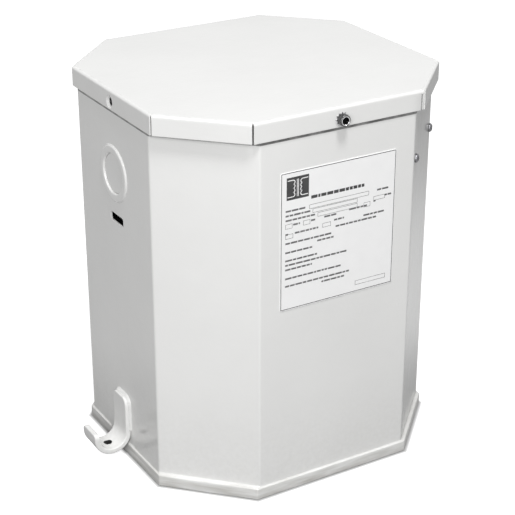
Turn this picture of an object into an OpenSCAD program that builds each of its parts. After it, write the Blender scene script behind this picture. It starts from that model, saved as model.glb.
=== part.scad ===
// Isolation transformer in an eight-sided sheet steel housing.
// Millimetres. +Z is up, the front wall faces -Y, and the origin is the middle of the base at floor level.

/* [Housing] */
// Width across the left and right walls
body_w = 345; // [290:1:415]
// Depth across the front and back walls
body_d = 326; // [270:1:392]
// Height from the floor to the top of the lid
total_h = 427; // [400:1:515]
// Length that each corner cut takes off its two neighbouring walls
corner_leg = 80; // [64:1:96]
// Sheet thickness of the walls
wall_t = 2; // [1.5:0.1:3]
// Outside radius of the wall bends
bend_r = 4; // [3.5:0.1:6]

/* [Lid] */
// Sheet thickness of the lid
lid_t = 1.5; // [1.2:0.1:2]
// Height of the turned-down skirt, measured from the top of the lid
skirt_h = 21.5; // [20:0.5:32]
// Clearance between the skirt and the straight walls
lid_gap = 0.3; // [0.2:0.05:1]
// Clearance between the skirt and the corner walls, where the lid stands off
lid_corner_gap = 6; // [4:0.5:14]
// How far each skirt tab stops short of its corner
tab_relief = 1; // [0.8:0.1:2]
// Outside radius of the bend along the lid's top edge
lid_edge_r = 3; // [2:0.1:3.4]
// Drop from the top of the lid to the fixing axes
fix_drop = 13.3; // [11:0.1:14]
// Outside diameter of the pressed dimple round an open fixing hole
dimple_d = 15; // [13:0.1:16]
// Depth of the pressed dimple
dimple_depth = 2.2; // [1.8:0.1:2.6]

/* [Lid screws] */
// Shank diameter of a lid screw
screw_d = 7.9; // [6:0.1:8.2]
// Head diameter of a lid screw
screw_head_d = 12; // [11:0.1:14]
// Head height of a lid screw
screw_head_h = 6; // [5:0.1:8]
// Hexagon socket, across the flats
socket_af = 7; // [5:0.1:7.2]
// Depth of the hexagon socket
socket_depth = 3.6; // [2:0.1:4.5]
// Shank length under the head
screw_len = 14; // [12:0.5:18]
// Outside diameter of the toothed washer
washer_d = 15.6; // [14.6:0.1:18]
// Thickness of the toothed washer
washer_t = 1.2; // [0.8:0.1:2]
// Number of teeth round the washer
washer_teeth = 12; // [8:1:16]
// Radial clearance of a lid screw in the washer, skirt and wall
hole_clear = 0.3; // [0.2:0.05:0.6]
// Radial clearance of a lid screw in its threaded plate
thread_clear = 0.05; // [0.03:0.01:0.1]
// Side of the square threaded plate behind each fixing
nut_w = 24; // [22:1:28]
// Thickness of the threaded plate
nut_t = 3; // [2.5:0.1:5]

/* [Knockouts and slots] */
// Height of the knockout centre
ko_z = 335; // [330:1:345]
// Diameter of the outer knockout ring
ko_outer_d = 62; // [50:0.5:64]
// Diameter of the inner knockout disc
ko_inner_d = 42.6; // [34:0.2:44]
// How far the ring stands out of the wall
ko_raise = 1.2; // [0.6:0.1:1.4]
// Radial cut line round the ring and the disc
ko_cut = 0.2; // [0.15:0.05:0.3]
// Height of the slot centre
slot_z = 284.8; // [280:0.2:290]
// Length of the slot along the wall
slot_w = 29.5; // [18:0.5:32]
// Height of the slot
slot_h = 9.3; // [6:0.1:11]
// Offset of the slot towards the front wall
slot_shift = 3; // [0:0.5:8]

/* [Hooks] */
// Width of the hook strap
hook_w = 32; // [26:1:40]
// Thickness of the hook strap
hook_t = 6; // [5:0.1:8]
// Inside radius of the hook bend
hook_r = 16; // [14:0.5:20]
// Height of the bend centre over the floor
hook_z = 31; // [29:0.5:36]
// Height of the top of the hook strap
hook_top = 73; // [62:1:84]
// Straight length of the upturned tip over the bend centre
hook_tip = 6.5; // [4:0.5:12]
// Rounding of the strap's top corners
hook_corner_r = 8; // [4:0.5:11]
// Rounding of the tip's corners
tip_corner_r = 5; // [2:0.5:5.5]
// Diameter of the hole through the bottom of the hook
hook_hole_d = 9; // [7:0.5:11]
// Leg of the fillet weld round the strap
weld_leg = 3; // [2:0.1:4]

/* [Data plate] */
// Width of the data plate
plate_w = 139; // [120:1:150]
// Height of the data plate
plate_h = 151; // [130:1:160]
// Height of the plate's lower edge
plate_z = 218; // [200:1:225]
// Thickness of the data plate
plate_t = 0.5; // [0.3:0.1:1]
// Rounding of the plate's corners
plate_corner_r = 2; // [1:0.5:4]

/* [Wall screws] */
// Height of the two screws in the front right corner wall
wall_screw_z = 351; // [330:1:360]
// Distance from each screw to the nearer edge of the corner wall
wall_screw_edge = 8.5; // [8:0.5:20]
// Shank diameter of a wall screw
wall_screw_d = 4.8; // [4:0.1:6]
// Head diameter of a wall screw
wall_head_d = 9.6; // [8:0.1:12]
// Head height of a wall screw
wall_head_h = 3.8; // [2.4:0.1:5]
// Shank length of a wall screw
wall_screw_len = 10; // [6:0.5:14]
// Radial clearance of a wall screw in the wall
wall_screw_clear = 0.1; // [0.05:0.01:0.2]

/* [Base] */
// Thickness of the pan's floor
pan_floor_t = 3; // [2:0.1:5]
// Sheet thickness of the pan's rim
pan_t = 2; // [1.5:0.1:2.5]
// Clearance between the rim and the straight walls
pan_gap = 0.2; // [0.1:0.05:0.4]
// Height of the pan's rim
pan_h = 13.5; // [11:0.5:15]
// Clearance between the rim and the corner walls
pan_corner_gap = 2.2; // [1.8:0.1:6]
// Height of the sealing weld that slopes from the rim up to the walls
seal_h = 2; // [1:0.5:5]
// Clearance between the sealing weld and the walls
seal_gap = 0.05; // [0.02:0.01:0.1]
// Height of the top of the encapsulated core and coil block
block_top = 262; // [220:1:272]
// Clearance between the block and the walls
block_gap = 0.5; // [0.4:0.1:2]

/* [Hidden] */
eps = 0.01;
body_hw = body_w / 2;
body_hd = body_d / 2;
lid_hw = body_hw + lid_gap + lid_t;
lid_hd = body_hd + lid_gap + lid_t;
pan_hw = body_hw + pan_gap + pan_t;
pan_hd = body_hd + pan_gap + pan_t;
lid_leg = corner_leg + 2 * (lid_gap + lid_t) - sqrt(2) * (lid_corner_gap + lid_t);
pan_leg = corner_leg + 2 * (pan_gap + pan_t) - sqrt(2) * (pan_corner_gap + pan_t);
fix_z = total_h - fix_drop;
screw_hole_d = screw_d + 2 * hole_clear;
hook_ro = hook_r + hook_t;
wrap_z0 = pan_floor_t;
wrap_z1 = total_h - lid_t;
FRONT = 0;
RIGHT = 90;
BACK = 180;
LEFT = 270;
PAINT = [0.93, 0.93, 0.92];
STEEL = [0.55, 0.55, 0.56];
LABEL = [0.97, 0.97, 0.97];
RESIN = [0.12, 0.12, 0.12];

// Corners of an eight-sided outline, anticlockwise from the front wall's left end
function octo(hw, hd, leg) = [
    [-(hw - leg), -hd], [hw - leg, -hd], [hw, -(hd - leg)], [hw, hd - leg],
    [hw - leg, hd], [-(hw - leg), hd], [-hw, hd - leg], [-hw, -(hd - leg)]
];

// Corner cut of the outline moved in by t on every side
function inset_leg(leg, t) = leg - t * (2 - sqrt(2));

function unit(v) = v / norm(v);

// The outline with a length k cut off both sides of every corner
function clipped(p, k) = [
    for (i = [0:len(p) - 1])
        for (q = [p[(i + len(p) - 1) % len(p)], p[(i + 1) % len(p)]])
            p[i] + k * unit(q - p[i])
];

// Distance from the middle of the housing to the wall that faces direction a
function reach(a) = (a == LEFT || a == RIGHT) ? body_hw : body_hd;

// Eight-sided outline with round corners of radius r
module round_octo(hw, hd, leg, r) {
    polygon(clipped(octo(hw, hd, leg), r * tan(22.5)));
    for (c = octo(hw - r, hd - r, inset_leg(leg, r)))
        translate(c)
            circle(r, $fn = 48);
}

// Places children on the wall that faces direction a: y = 0 is its outer face, -y is outwards
module on_wall(a) {
    rotate([0, 0, a])
        translate([0, -reach(a), 0])
            children();
}

// The same for the front right corner wall
module on_corner_wall() {
    translate([body_hw - corner_leg / 2, -(body_hd - corner_leg / 2), 0])
        rotate([0, 0, 45])
            children();
}

// Cylinder along y from y0 to y1 at height z
module rod(d, y0, y1, z = 0, n = 48) {
    translate([0, y0, z])
        rotate([-90, 0, 0])
            cylinder(h = y1 - y0, d = d, $fn = n);
}

// One turned-down tab of the lid along side i of its outline
module skirt_tab(i) {
    p = octo(lid_hw, lid_hd, lid_leg);
    a = p[i];
    b = p[(i + 1) % 8];
    u = unit(b - a);
    inward = [-u[1], u[0]] * lid_t;
    a1 = a + u * tab_relief;
    b1 = b - u * tab_relief;
    translate([0, 0, total_h - skirt_h])
        linear_extrude(skirt_h - lid_t / 2)
            polygon([a1, b1, b1 + inward, a1 + inward]);
}

// What the bend takes off the square top edge along side i of the lid
module edge_relief(i) {
    p = octo(lid_hw, lid_hd, lid_leg);
    a = p[i];
    b = p[(i + 1) % 8];
    side = norm(b - a);
    translate([a[0], a[1], total_h])
        rotate([0, 0, atan2(b[1] - a[1], b[0] - a[0])])
            difference() {
                translate([-lid_edge_r, -lid_edge_r, -lid_edge_r])
                    cube([side + 2 * lid_edge_r, 2 * lid_edge_r, 2 * lid_edge_r]);
                translate([-2 * lid_edge_r, lid_edge_r, -lid_edge_r])
                    rotate([0, 90, 0])
                        cylinder(h = side + 4 * lid_edge_r, r = lid_edge_r, $fn = 48);
            }
}

// Cone between the open fixing hole and the rim of its dimple, moved in by t
module dimple_cone(t) {
    face = -(lid_gap + lid_t);
    translate([0, face + t, fix_z])
        rotate([-90, 0, 0])
            cylinder(h = dimple_depth, d1 = dimple_d, d2 = screw_hole_d, $fn = 48);
}

module lid() {
    face = -(lid_gap + lid_t);
    color(PAINT)
        difference() {
            union() {
                translate([0, 0, total_h - lid_t])
                    linear_extrude(lid_t)
                        polygon(octo(lid_hw, lid_hd, lid_leg));
                for (i = [0:7])
                    skirt_tab(i);
                for (a = [LEFT, RIGHT])
                    on_wall(a)
                        intersection() {
                            rod(dimple_d, face + lid_t / 2, face + dimple_depth + lid_t / 2, fix_z);
                            union() {
                                dimple_cone(lid_t / 2);
                                rod(dimple_d, face, face + lid_t / 2 + eps, fix_z);
                            }
                        }
            }
            for (i = [0:7])
                edge_relief(i);
            for (a = [FRONT, RIGHT, BACK, LEFT])
                on_wall(a)
                    rod(screw_hole_d, face - 1, 6, fix_z);
            for (a = [LEFT, RIGHT])
                on_wall(a) {
                    dimple_cone(0);
                    rod(dimple_d, face - 1, face + eps, fix_z);
                }
        }
}

module lid_screw(a) {
    seat = -(lid_gap + lid_t + washer_t);
    color(STEEL)
        on_wall(a)
            difference() {
                union() {
                    rod(screw_head_d, seat - screw_head_h, seat, fix_z);
                    rod(screw_d, seat - eps, seat + screw_len, fix_z);
                }
                translate([0, seat - screw_head_h - 1, fix_z])
                    rotate([-90, 0, 0])
                        cylinder(h = socket_depth + 1, d = socket_af / cos(30), $fn = 6);
            }
}

module lid_washer(a) {
    seat = -(lid_gap + lid_t);
    tooth = PI * washer_d / washer_teeth / 2;
    color(STEEL)
        on_wall(a)
            difference() {
                rod(washer_d, seat - washer_t, seat, fix_z);
                rod(screw_hole_d, seat - washer_t - 1, seat + 1, fix_z);
                for (i = [0:washer_teeth - 1])
                    translate([0, seat - washer_t - 1, fix_z])
                        rotate([0, i * 360 / washer_teeth, 0])
                            translate([-tooth / 2, 0, screw_head_d / 2 + 0.4])
                                cube([tooth, washer_t + 2, washer_d]);
            }
}

module threaded_plate(a) {
    color(STEEL)
        on_wall(a)
            difference() {
                translate([-nut_w / 2, wall_t, fix_z - nut_w / 2])
                    cube([nut_w, nut_t, nut_w / 2 + fix_drop - lid_t - 1]);
                rod(screw_d + 2 * thread_clear, wall_t - 1, wall_t + nut_t + 1, fix_z);
            }
}

module housing_wrap() {
    color(PAINT)
        difference() {
            translate([0, 0, wrap_z0])
                linear_extrude(wrap_z1 - wrap_z0)
                    difference() {
                        round_octo(body_hw, body_hd, corner_leg, bend_r);
                        round_octo(body_hw - wall_t, body_hd - wall_t, inset_leg(corner_leg, wall_t), bend_r - wall_t);
                    }
            for (a = [FRONT, BACK])
                on_wall(a)
                    rod(screw_hole_d, -1, wall_t + 1, fix_z);
            for (a = [LEFT, RIGHT])
                on_wall(a) {
                    rod(dimple_d + 1, -1, wall_t + 1, fix_z);
                    rod(ko_outer_d + 2 * ko_cut, -1, wall_t + 1, ko_z);
                    slot_cut(a);
                }
            on_corner_wall()
                wall_screw_places()
                    rod(wall_screw_d + 2 * wall_screw_clear, -1, wall_t + 1, wall_screw_z);
        }
}

// The slot under a knockout, on the front side of the wall's middle line
module slot_cut(a) {
    shift = a == RIGHT ? -slot_shift : slot_shift;
    translate([shift - slot_w / 2, -1, slot_z - slot_h / 2])
        cube([slot_w, wall_t + 2, slot_h]);
}

// Puts children at both screw places of a corner wall
module wall_screw_places() {
    off = corner_leg / sqrt(2) - wall_screw_edge;
    for (s = [-1, 1])
        translate([s * off, 0, 0])
            children();
}

module knockout_ring(a) {
    color(PAINT)
        on_wall(a)
            difference() {
                rod(ko_outer_d, -ko_raise, wall_t - ko_raise, ko_z, 96);
                rod(ko_inner_d + 2 * ko_cut, -ko_raise - 1, wall_t + 1, ko_z, 96);
            }
}

module knockout_disc(a) {
    color(PAINT)
        on_wall(a)
            rod(ko_inner_d, 0, wall_t, ko_z, 96);
}

// Side view of the hook: x is the distance out from the wall, y is the height
module hook_profile() {
    translate([0, hook_z])
        square([hook_t, hook_top - hook_z]);
    translate([2 * hook_ro - hook_t, hook_z])
        square([hook_t, hook_tip]);
    translate([hook_ro, hook_z])
        difference() {
            circle(hook_ro, $fn = 96);
            circle(hook_r, $fn = 96);
            translate([-2 * hook_ro, 0])
                square([4 * hook_ro, 2 * hook_ro]);
        }
}

// What rounds the two upper corners of a strap end of width w whose top is at height z
module corner_relief(r, w, z, y0, y1) {
    for (s = [0, 1])
        mirror([s, 0, 0])
            difference() {
                translate([w / 2 - r, y0, z - r])
                    cube([2 * r, y1 - y0, 2 * r]);
                translate([w / 2 - r, 0, 0])
                    rod(2 * r, y0 - 1, y1 + 1, z - r);
            }
}

// Fillet weld up both sides of the strap and over its top
module hook_weld() {
    section = [[0, 0], [weld_leg, 0], [0, weld_leg]];
    run = hook_top - hook_corner_r - hook_z;
    for (s = [0, 1])
        mirror([s, 0, 0]) {
            translate([hook_w / 2, 0, hook_z])
                mirror([0, 1, 0])
                    linear_extrude(run)
                        polygon(section);
            translate([hook_w / 2 - hook_corner_r, 0, hook_top - hook_corner_r])
                rotate([90, 0, 0])
                    rotate_extrude(angle = 90, $fn = 48)
                        translate([hook_corner_r, 0])
                            polygon(section);
        }
    translate([-(hook_w / 2 - hook_corner_r), 0, hook_top])
        rotate([90, 0, 90])
            linear_extrude(hook_w - 2 * hook_corner_r)
                polygon([for (q = section) [-q[1], q[0]]]);
}

module hook(a) {
    tip_y = -(2 * hook_ro);
    color(PAINT)
        on_wall(a)
            union() {
                difference() {
                    rotate([90, 0, -90])
                        linear_extrude(hook_w, center = true)
                            hook_profile();
                    corner_relief(hook_corner_r, hook_w, hook_top, -(hook_t + 1), 1);
                    corner_relief(tip_corner_r, hook_w, hook_z + hook_tip, tip_y - 1, tip_y + hook_t + 1);
                    translate([0, -hook_ro, hook_z - hook_ro - 1])
                        cylinder(h = hook_ro, d = hook_hole_d, $fn = 48);
                }
                hook_weld();
            }
}

module data_plate() {
    color(LABEL)
        on_wall(FRONT)
            translate([0, 0, plate_z + plate_h / 2])
                rotate([90, 0, 0])
                    linear_extrude(plate_t)
                        rounded_sheet(plate_w, plate_h, plate_corner_r);
}

// Rectangle w by h with corners of radius r
module rounded_sheet(w, h, r) {
    square([w, h - 2 * r], center = true);
    square([w - 2 * r, h], center = true);
    for (x = [-1, 1])
        for (y = [-1, 1])
            translate([x * (w / 2 - r), y * (h / 2 - r)])
                circle(r, $fn = 32);
}

// One screw of the corner wall: s is -1 next to the front wall and 1 next to the right wall
module wall_screw(s) {
    off = corner_leg / sqrt(2) - wall_screw_edge;
    rim = wall_head_h / 3;
    color(STEEL)
        on_corner_wall()
            translate([s * off, 0, wall_screw_z])
                difference() {
                    union() {
                        rod(wall_screw_d, -eps, wall_screw_len);
                        rod(wall_head_d, -rim, 0);
                        translate([0, -wall_head_h, 0])
                            rotate([-90, 0, 0])
                                cylinder(h = wall_head_h - rim + eps, d1 = 0.66 * wall_head_d, d2 = wall_head_d, $fn = 48);
                    }
                    for (t = [0, 90])
                        translate([0, -wall_head_h, 0])
                            rotate([0, t, 0])
                                cube([0.5 * wall_head_d, wall_head_h, 1.2], center = true);
                }
}

module base_pan() {
    color(PAINT) {
        linear_extrude(pan_floor_t)
            polygon(octo(pan_hw, pan_hd, pan_leg));
        linear_extrude(pan_h)
            difference() {
                polygon(octo(pan_hw, pan_hd, pan_leg));
                polygon(octo(pan_hw - pan_t, pan_hd - pan_t, inset_leg(pan_leg, pan_t)));
            }
    }
}

module base_seal_weld() {
    color(PAINT)
        difference() {
            hull() {
                translate([0, 0, pan_h])
                    linear_extrude(eps)
                        polygon(octo(pan_hw, pan_hd, pan_leg));
                translate([0, 0, pan_h + seal_h - eps])
                    linear_extrude(eps)
                        polygon(octo(body_hw + 0.4, body_hd + 0.4, corner_leg));
            }
            translate([0, 0, pan_h - 1])
                linear_extrude(seal_h + 2)
                    round_octo(body_hw + seal_gap, body_hd + seal_gap, corner_leg + seal_gap * (2 - sqrt(2)),
                        bend_r + seal_gap);
        }
}

module core_block() {
    inset = wall_t + block_gap;
    color(RESIN)
        translate([0, 0, pan_floor_t])
            linear_extrude(block_top - pan_floor_t)
                polygon(octo(body_hw - inset, body_hd - inset, inset_leg(corner_leg, inset)));
}

lid();
lid_screw(FRONT);  // lid_screw_front
lid_screw(BACK);  // lid_screw_back
lid_washer(FRONT);  // lid_washer_front
lid_washer(BACK);  // lid_washer_back
threaded_plate(FRONT);  // threaded_plate_front
threaded_plate(BACK);  // threaded_plate_back
threaded_plate(LEFT);  // threaded_plate_left
threaded_plate(RIGHT);  // threaded_plate_right
housing_wrap();
knockout_ring(LEFT);  // knockout_ring_left
knockout_ring(RIGHT);  // knockout_ring_right
knockout_disc(LEFT);  // knockout_disc_left
knockout_disc(RIGHT);  // knockout_disc_right
hook(LEFT);  // hook_left
hook(RIGHT);  // hook_right
data_plate();
wall_screw(-1);  // wall_screw_front
wall_screw(1);  // wall_screw_side
base_pan();
base_seal_weld();
core_block();
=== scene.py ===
# %% [markdown]
# # An isolation transformer in an eight-sided steel housing
#
# The real object is sheet steel work: a wrap folded round eight sides, a lid with a turned-down
# skirt, a pan welded on underneath, and a forged-looking hook on each side to hold it down.
# Each of those shapes started as flat sheet or bar, so most pieces below are worked out flat,
# with their holes, and then folded or rolled, just as the shop does it.
#
# The CAD model is loaded first and stays fixed. It says where every piece goes.

# %% Load the CAD frame
import math
import bmesh
import bpy
import numpy as np
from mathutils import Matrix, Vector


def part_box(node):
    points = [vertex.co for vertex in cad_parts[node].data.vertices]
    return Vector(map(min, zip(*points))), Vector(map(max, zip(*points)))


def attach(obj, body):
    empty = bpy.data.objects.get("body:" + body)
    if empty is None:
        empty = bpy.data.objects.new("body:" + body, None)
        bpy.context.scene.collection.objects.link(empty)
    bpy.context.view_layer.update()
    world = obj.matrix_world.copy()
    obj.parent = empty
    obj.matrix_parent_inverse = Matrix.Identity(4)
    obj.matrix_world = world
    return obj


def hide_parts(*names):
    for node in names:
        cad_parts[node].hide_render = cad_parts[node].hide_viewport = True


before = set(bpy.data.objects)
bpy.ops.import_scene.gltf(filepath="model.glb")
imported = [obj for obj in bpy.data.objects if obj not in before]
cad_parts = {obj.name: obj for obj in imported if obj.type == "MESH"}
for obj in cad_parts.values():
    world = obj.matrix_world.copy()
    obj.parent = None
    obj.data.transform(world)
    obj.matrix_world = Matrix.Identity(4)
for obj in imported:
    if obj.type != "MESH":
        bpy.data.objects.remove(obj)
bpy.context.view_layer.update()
MM = 0.001
print("CAD nodes:", len(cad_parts))


# %% [markdown]
# ## Sizes taken from the CAD nodes
#
# A node's box gives its place and its outer size. What a box can't tell, such as the radius of a
# fold, is written once here as a named size of the real part.

# %% Measure the CAD nodes
def corners(node):
    """Lowest and highest corner of a CAD node as arrays."""
    low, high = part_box(node)
    return np.array(low), np.array(high)


def middle(node):
    """Middle of a CAD node's box."""
    return sum(corners(node)) / 2


WALL_LOW, WALL_HIGH = corners("housing_wrap")
HALF_W, HALF_D = WALL_HIGH[0], WALL_HIGH[1]
LID_LOW, LID_HIGH = corners("lid")
PAN_HIGH = corners("base_pan")[1]
FIX_Z = middle("lid_screw_front")[2]
KNOCKOUT_Z = middle("knockout_ring_left")[2]
RING_R = corners("knockout_ring_left")[1][2] - KNOCKOUT_Z
DISC_R = corners("knockout_disc_left")[1][2] - KNOCKOUT_Z
print("wall half width and depth in mm:", HALF_W / MM, HALF_D / MM)
print("ring and disc radius in mm:", RING_R / MM, DISC_R / MM)

# %% Sizes of folds, holes and gaps
CORNER_LEG = 80 * MM
WALL_T = 2 * MM
WALL_BEND_R = 4 * MM
LID_T = 1.5 * MM
LID_BEND_R = 3 * MM
LID_CORNER_GAP = 6 * MM
LID_LEG = CORNER_LEG + 2 * (LID_HIGH[0] - HALF_W) - math.sqrt(2) * (LID_CORNER_GAP + LID_T)
RIM_T = 2 * MM
RIM_CORNER_GAP = 2.2 * MM
PAN_LEG = CORNER_LEG + 2 * (PAN_HIGH[0] - HALF_W) - math.sqrt(2) * (RIM_CORNER_GAP + RIM_T)
HOLE_R = 4.25 * MM
DIMPLE_R = 7.5 * MM
DIMPLE_DEPTH = 2.2 * MM
SLOT_Z = 284.8 * MM
SLOT_W = 29.5 * MM
SLOT_H = 9.3 * MM
SLOT_SHIFT = 3 * MM
SOCKET_AF = 7 * MM
BAR_T = 6 * MM
BEND_MID_R = 19 * MM
HOOK_HOLE_R = 4.5 * MM
print("corner cut of the lid and of the pan:", LID_LEG / MM, PAN_LEG / MM)

# %% [markdown]
# ## Patches: surfaces on a grid
#
# A patch is a grid of points, worked out as one array. Its cells become four-cornered faces. A
# piece is a list of patches: where their edges carry the same points they are merged into one
# skin. Modelling by hand with loop cuts would give the same faces, but a formula keeps every
# size tied to the CAD.


# %% Patches into a mesh
ROWS_CLOSE = (False, True)
COLUMNS_CLOSE = (True, False)
BOTH_CLOSE = (True, True)


def patch(points, keep=None, wrap=(False, False)):
    """A grid of points, rows by columns by xyz. keep marks the cells that are faces. wrap joins the
    last row to the first, which closes the columns, or the last column, which closes the rows."""
    return np.asarray(points, float), keep, wrap


def at_height(points, height):
    """Flat points with a third coordinate, the same for all of them."""
    return np.concatenate([points, np.full((*points.shape[:-1], 1), height)], -1)


def cell_corners(rows, columns, wrap):
    """Numbers of the four corners of every cell: the cell's own point, the next one in its row, the
    one diagonally across, and the one below."""
    r = np.arange(rows if wrap[0] else rows - 1)[:, None]
    c = np.arange(columns if wrap[1] else columns - 1)[None, :]
    here, below, beside = r * columns, (r + 1) % rows * columns, (c + 1) % columns
    return np.stack(np.broadcast_arrays(here + c, here + beside, below + beside, below + c), -1)


def skin(name, patches):
    """One mesh from patches: equal points are merged, and the faces are turned outwards, which is
    the way that makes the sum of area times normal times distance from the middle positive."""
    points, faces, first = [], [], 0
    for grid, keep, wrap in patches:
        cells = cell_corners(*grid.shape[:2], wrap)
        faces.append((cells if keep is None else cells[keep]).reshape(-1, 4) + first)
        points.append(grid.reshape(-1, 3))
        first += len(points[-1])
    used, faces = np.unique(np.concatenate(faces), return_inverse=True)
    mesh = bpy.data.meshes.new(name)
    mesh.from_pydata(np.concatenate(points)[used].tolist(), [], faces.reshape(-1, 4).tolist())
    work = bmesh.new()
    work.from_mesh(mesh)
    bmesh.ops.remove_doubles(work, verts=work.verts, dist=2e-6)
    bmesh.ops.recalc_face_normals(work, faces=work.faces)
    work.to_mesh(mesh)
    work.free()
    count = len(mesh.polygons)
    normal, centre, area = np.empty(count * 3), np.empty(count * 3), np.empty(count)
    mesh.polygons.foreach_get("normal", normal)
    mesh.polygons.foreach_get("center", centre)
    mesh.polygons.foreach_get("area", area)
    centre = centre.reshape(-1, 3)
    outward = ((centre - centre.mean(0)) * normal.reshape(-1, 3)).sum(1) @ area
    if outward < 0:
        mesh.flip_normals()
    return mesh


print("faces of a grid of 4 by 5 points:", cell_corners(4, 5, (False, False))[..., 0].size)


# %% [markdown]
# A finished piece needs five things: its mesh, a thickness if it is sheet, softened cut edges,
# a finish, and the words that tie it to the CAD. One function does this for every piece, so none
# is forgotten. The modifiers are applied at once: the shading can then be split at the angles of
# the final shape.


# %% Finish a piece
CUT_EDGE = 50


def make_piece(name, patches, stands_for, finish, sheet=0, soften=0, sharp=35):
    """An object from patches that replaces the CAD nodes it stands for. sheet is the thickness to
    add on the inside, soften is the radius left on the cut edges, and edges that turn by more than
    sharp degrees are shaded as edges."""
    piece = bpy.data.objects.new(name, skin(name, patches))
    bpy.context.scene.collection.objects.link(piece)
    if sheet:
        solid = piece.modifiers.new("sheet thickness", "SOLIDIFY")
        solid.thickness = sheet
        solid.offset = -1
        solid.use_even_offset = True
        solid.use_quality_normals = True
    if soften:
        edge = piece.modifiers.new("softened edges", "BEVEL")
        edge.width = soften
        edge.segments = 2
        edge.limit_method = "ANGLE"
        edge.angle_limit = math.radians(CUT_EDGE)
    if piece.modifiers:
        bpy.context.view_layer.update()
        done = piece.evaluated_get(bpy.context.evaluated_depsgraph_get())
        piece.data = bpy.data.meshes.new_from_object(done)
        piece.modifiers.clear()
    piece.data.name = name
    piece.data.shade_smooth()
    piece.data.set_sharp_from_angle(angle=math.radians(sharp))
    piece.data.materials.clear()
    piece.data.materials.append(finish)
    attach(piece, "root")
    if stands_for:
        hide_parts(*stands_for)
    print(name, "faces:", len(piece.data.polygons))
    return piece


# %% [markdown]
# ## Finishes
#
# ### Gloss powder coat
#
# The housing is powder coated: charged powder is blown on and baked until it flows together. It
# never flows quite flat, which leaves the fine ripple called orange peel, and it gathers a little
# dust and a few rubbed places. A flat white would look like plastic. So the colour drifts by a
# percent or two, the gloss changes from place to place, and two sizes of ripple go into the bump.
# On the pan's rim the ripple and the dust lie in level streaks, left by mops and pallet runners.
# Under and behind the lid's skirt the wall is painted dark: painted shade in the gap under the skirt
# and behind its slits. The drilled wall of each hook's hole is painted near black, as painted shade.


# %% A material with short names for its wiring
class Finish:
    """A material whose nodes are added and linked in one call each."""

    def __init__(self, name, color, roughness, **sockets):
        self.material = bpy.data.materials.new(name)
        self.material.use_nodes = True
        self.tree = self.material.node_tree
        self.shader = self.tree.nodes["Principled BSDF"]
        self.set("Base Color", (*color, 1))
        self.set("Roughness", roughness)
        for socket, value in sockets.items():
            self.set(socket.replace("_", " "), value)
        self.place = self.add("ShaderNodeTexCoord").outputs["Object"]

    def set(self, socket, value):
        """Gives a socket of the shader a plain value or the output of a node."""
        self.give(self.shader.inputs[socket], value)

    def give(self, socket, value):
        """Links an output to a socket, or writes a plain value on it."""
        if isinstance(value, bpy.types.NodeSocket):
            self.tree.links.new(value, socket)
        else:
            socket.default_value = value

    def add(self, kind, inputs=(), **settings):
        """A node with its settings made and its inputs given by name or number."""
        node = self.tree.nodes.new(kind)
        for setting, value in settings.items():
            setattr(node, setting, value)
        for socket, value in dict(inputs).items():
            self.give(node.inputs[socket], value)
        return node

    def noise(self, scale, detail=3, stretch=(1, 1, 1)):
        """Cloudy noise between 0 and 1, with scale lumps a metre, pulled out along an axis by stretch."""
        place = self.add("ShaderNodeMapping", {"Vector": self.place, "Scale": stretch}).outputs["Vector"]
        settings = {"Vector": place, "Scale": scale, "Detail": detail}
        return self.add("ShaderNodeTexNoise", settings).outputs["Fac"]

    def remap(self, value, low, high, new_low, new_high):
        """Stretches the range low to high onto new_low to new_high, and holds it there."""
        ends = {"Value": value, "From Min": low, "From Max": high, "To Min": new_low, "To Max": new_high}
        return self.add("ShaderNodeMapRange", ends).outputs["Result"]

    def blend(self, amount, first, second):
        """A colour between two colours."""
        node = self.add("ShaderNodeMix", data_type="RGBA")
        self.give(node.inputs["Factor"], amount)
        self.give(node.inputs[6], first if isinstance(first, bpy.types.NodeSocket) else (*first, 1))
        self.give(node.inputs[7], second if isinstance(second, bpy.types.NodeSocket) else (*second, 1))
        return node.outputs[2]

    def bump(self, height, distance, under=None):
        """Bumps the surface by a height between 0 and 1, worth distance metres, over what is under it."""
        node = self.add("ShaderNodeBump", {"Height": height, "Distance": distance})
        if under:
            self.give(node.inputs["Normal"], under)
        return node.outputs["Normal"]

    def axis(self, name):
        """One coordinate of the place on the object."""
        return self.add("ShaderNodeSeparateXYZ", {"Vector": self.place}).outputs[name]

    def number(self, operation, *values):
        """A sum such as ADD or MULTIPLY on numbers, which are plain values or outputs of nodes."""
        return self.add("ShaderNodeMath", enumerate(values), operation=operation).outputs[0]

    def vector(self, operation, *values, result="Vector"):
        """The same for places. The result of LENGTH is a plain Value."""
        return self.add("ShaderNodeVectorMath", enumerate(values), operation=operation).outputs[result]


# %% Powder coat
WHITE = (0.82, 0.82, 0.81)
WHITE_DEEP = (0.795, 0.795, 0.785)
DUST = (0.5, 0.49, 0.46)
PAINTED_SHADE = (0.09, 0.09, 0.088)
PAINTED_HOLE_SHADE = (0.015, 0.015, 0.015)
PAINTED_SHADE_STARTS, PAINTED_SHADE_FULL = 3.7 * MM, 2.9 * MM


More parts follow.
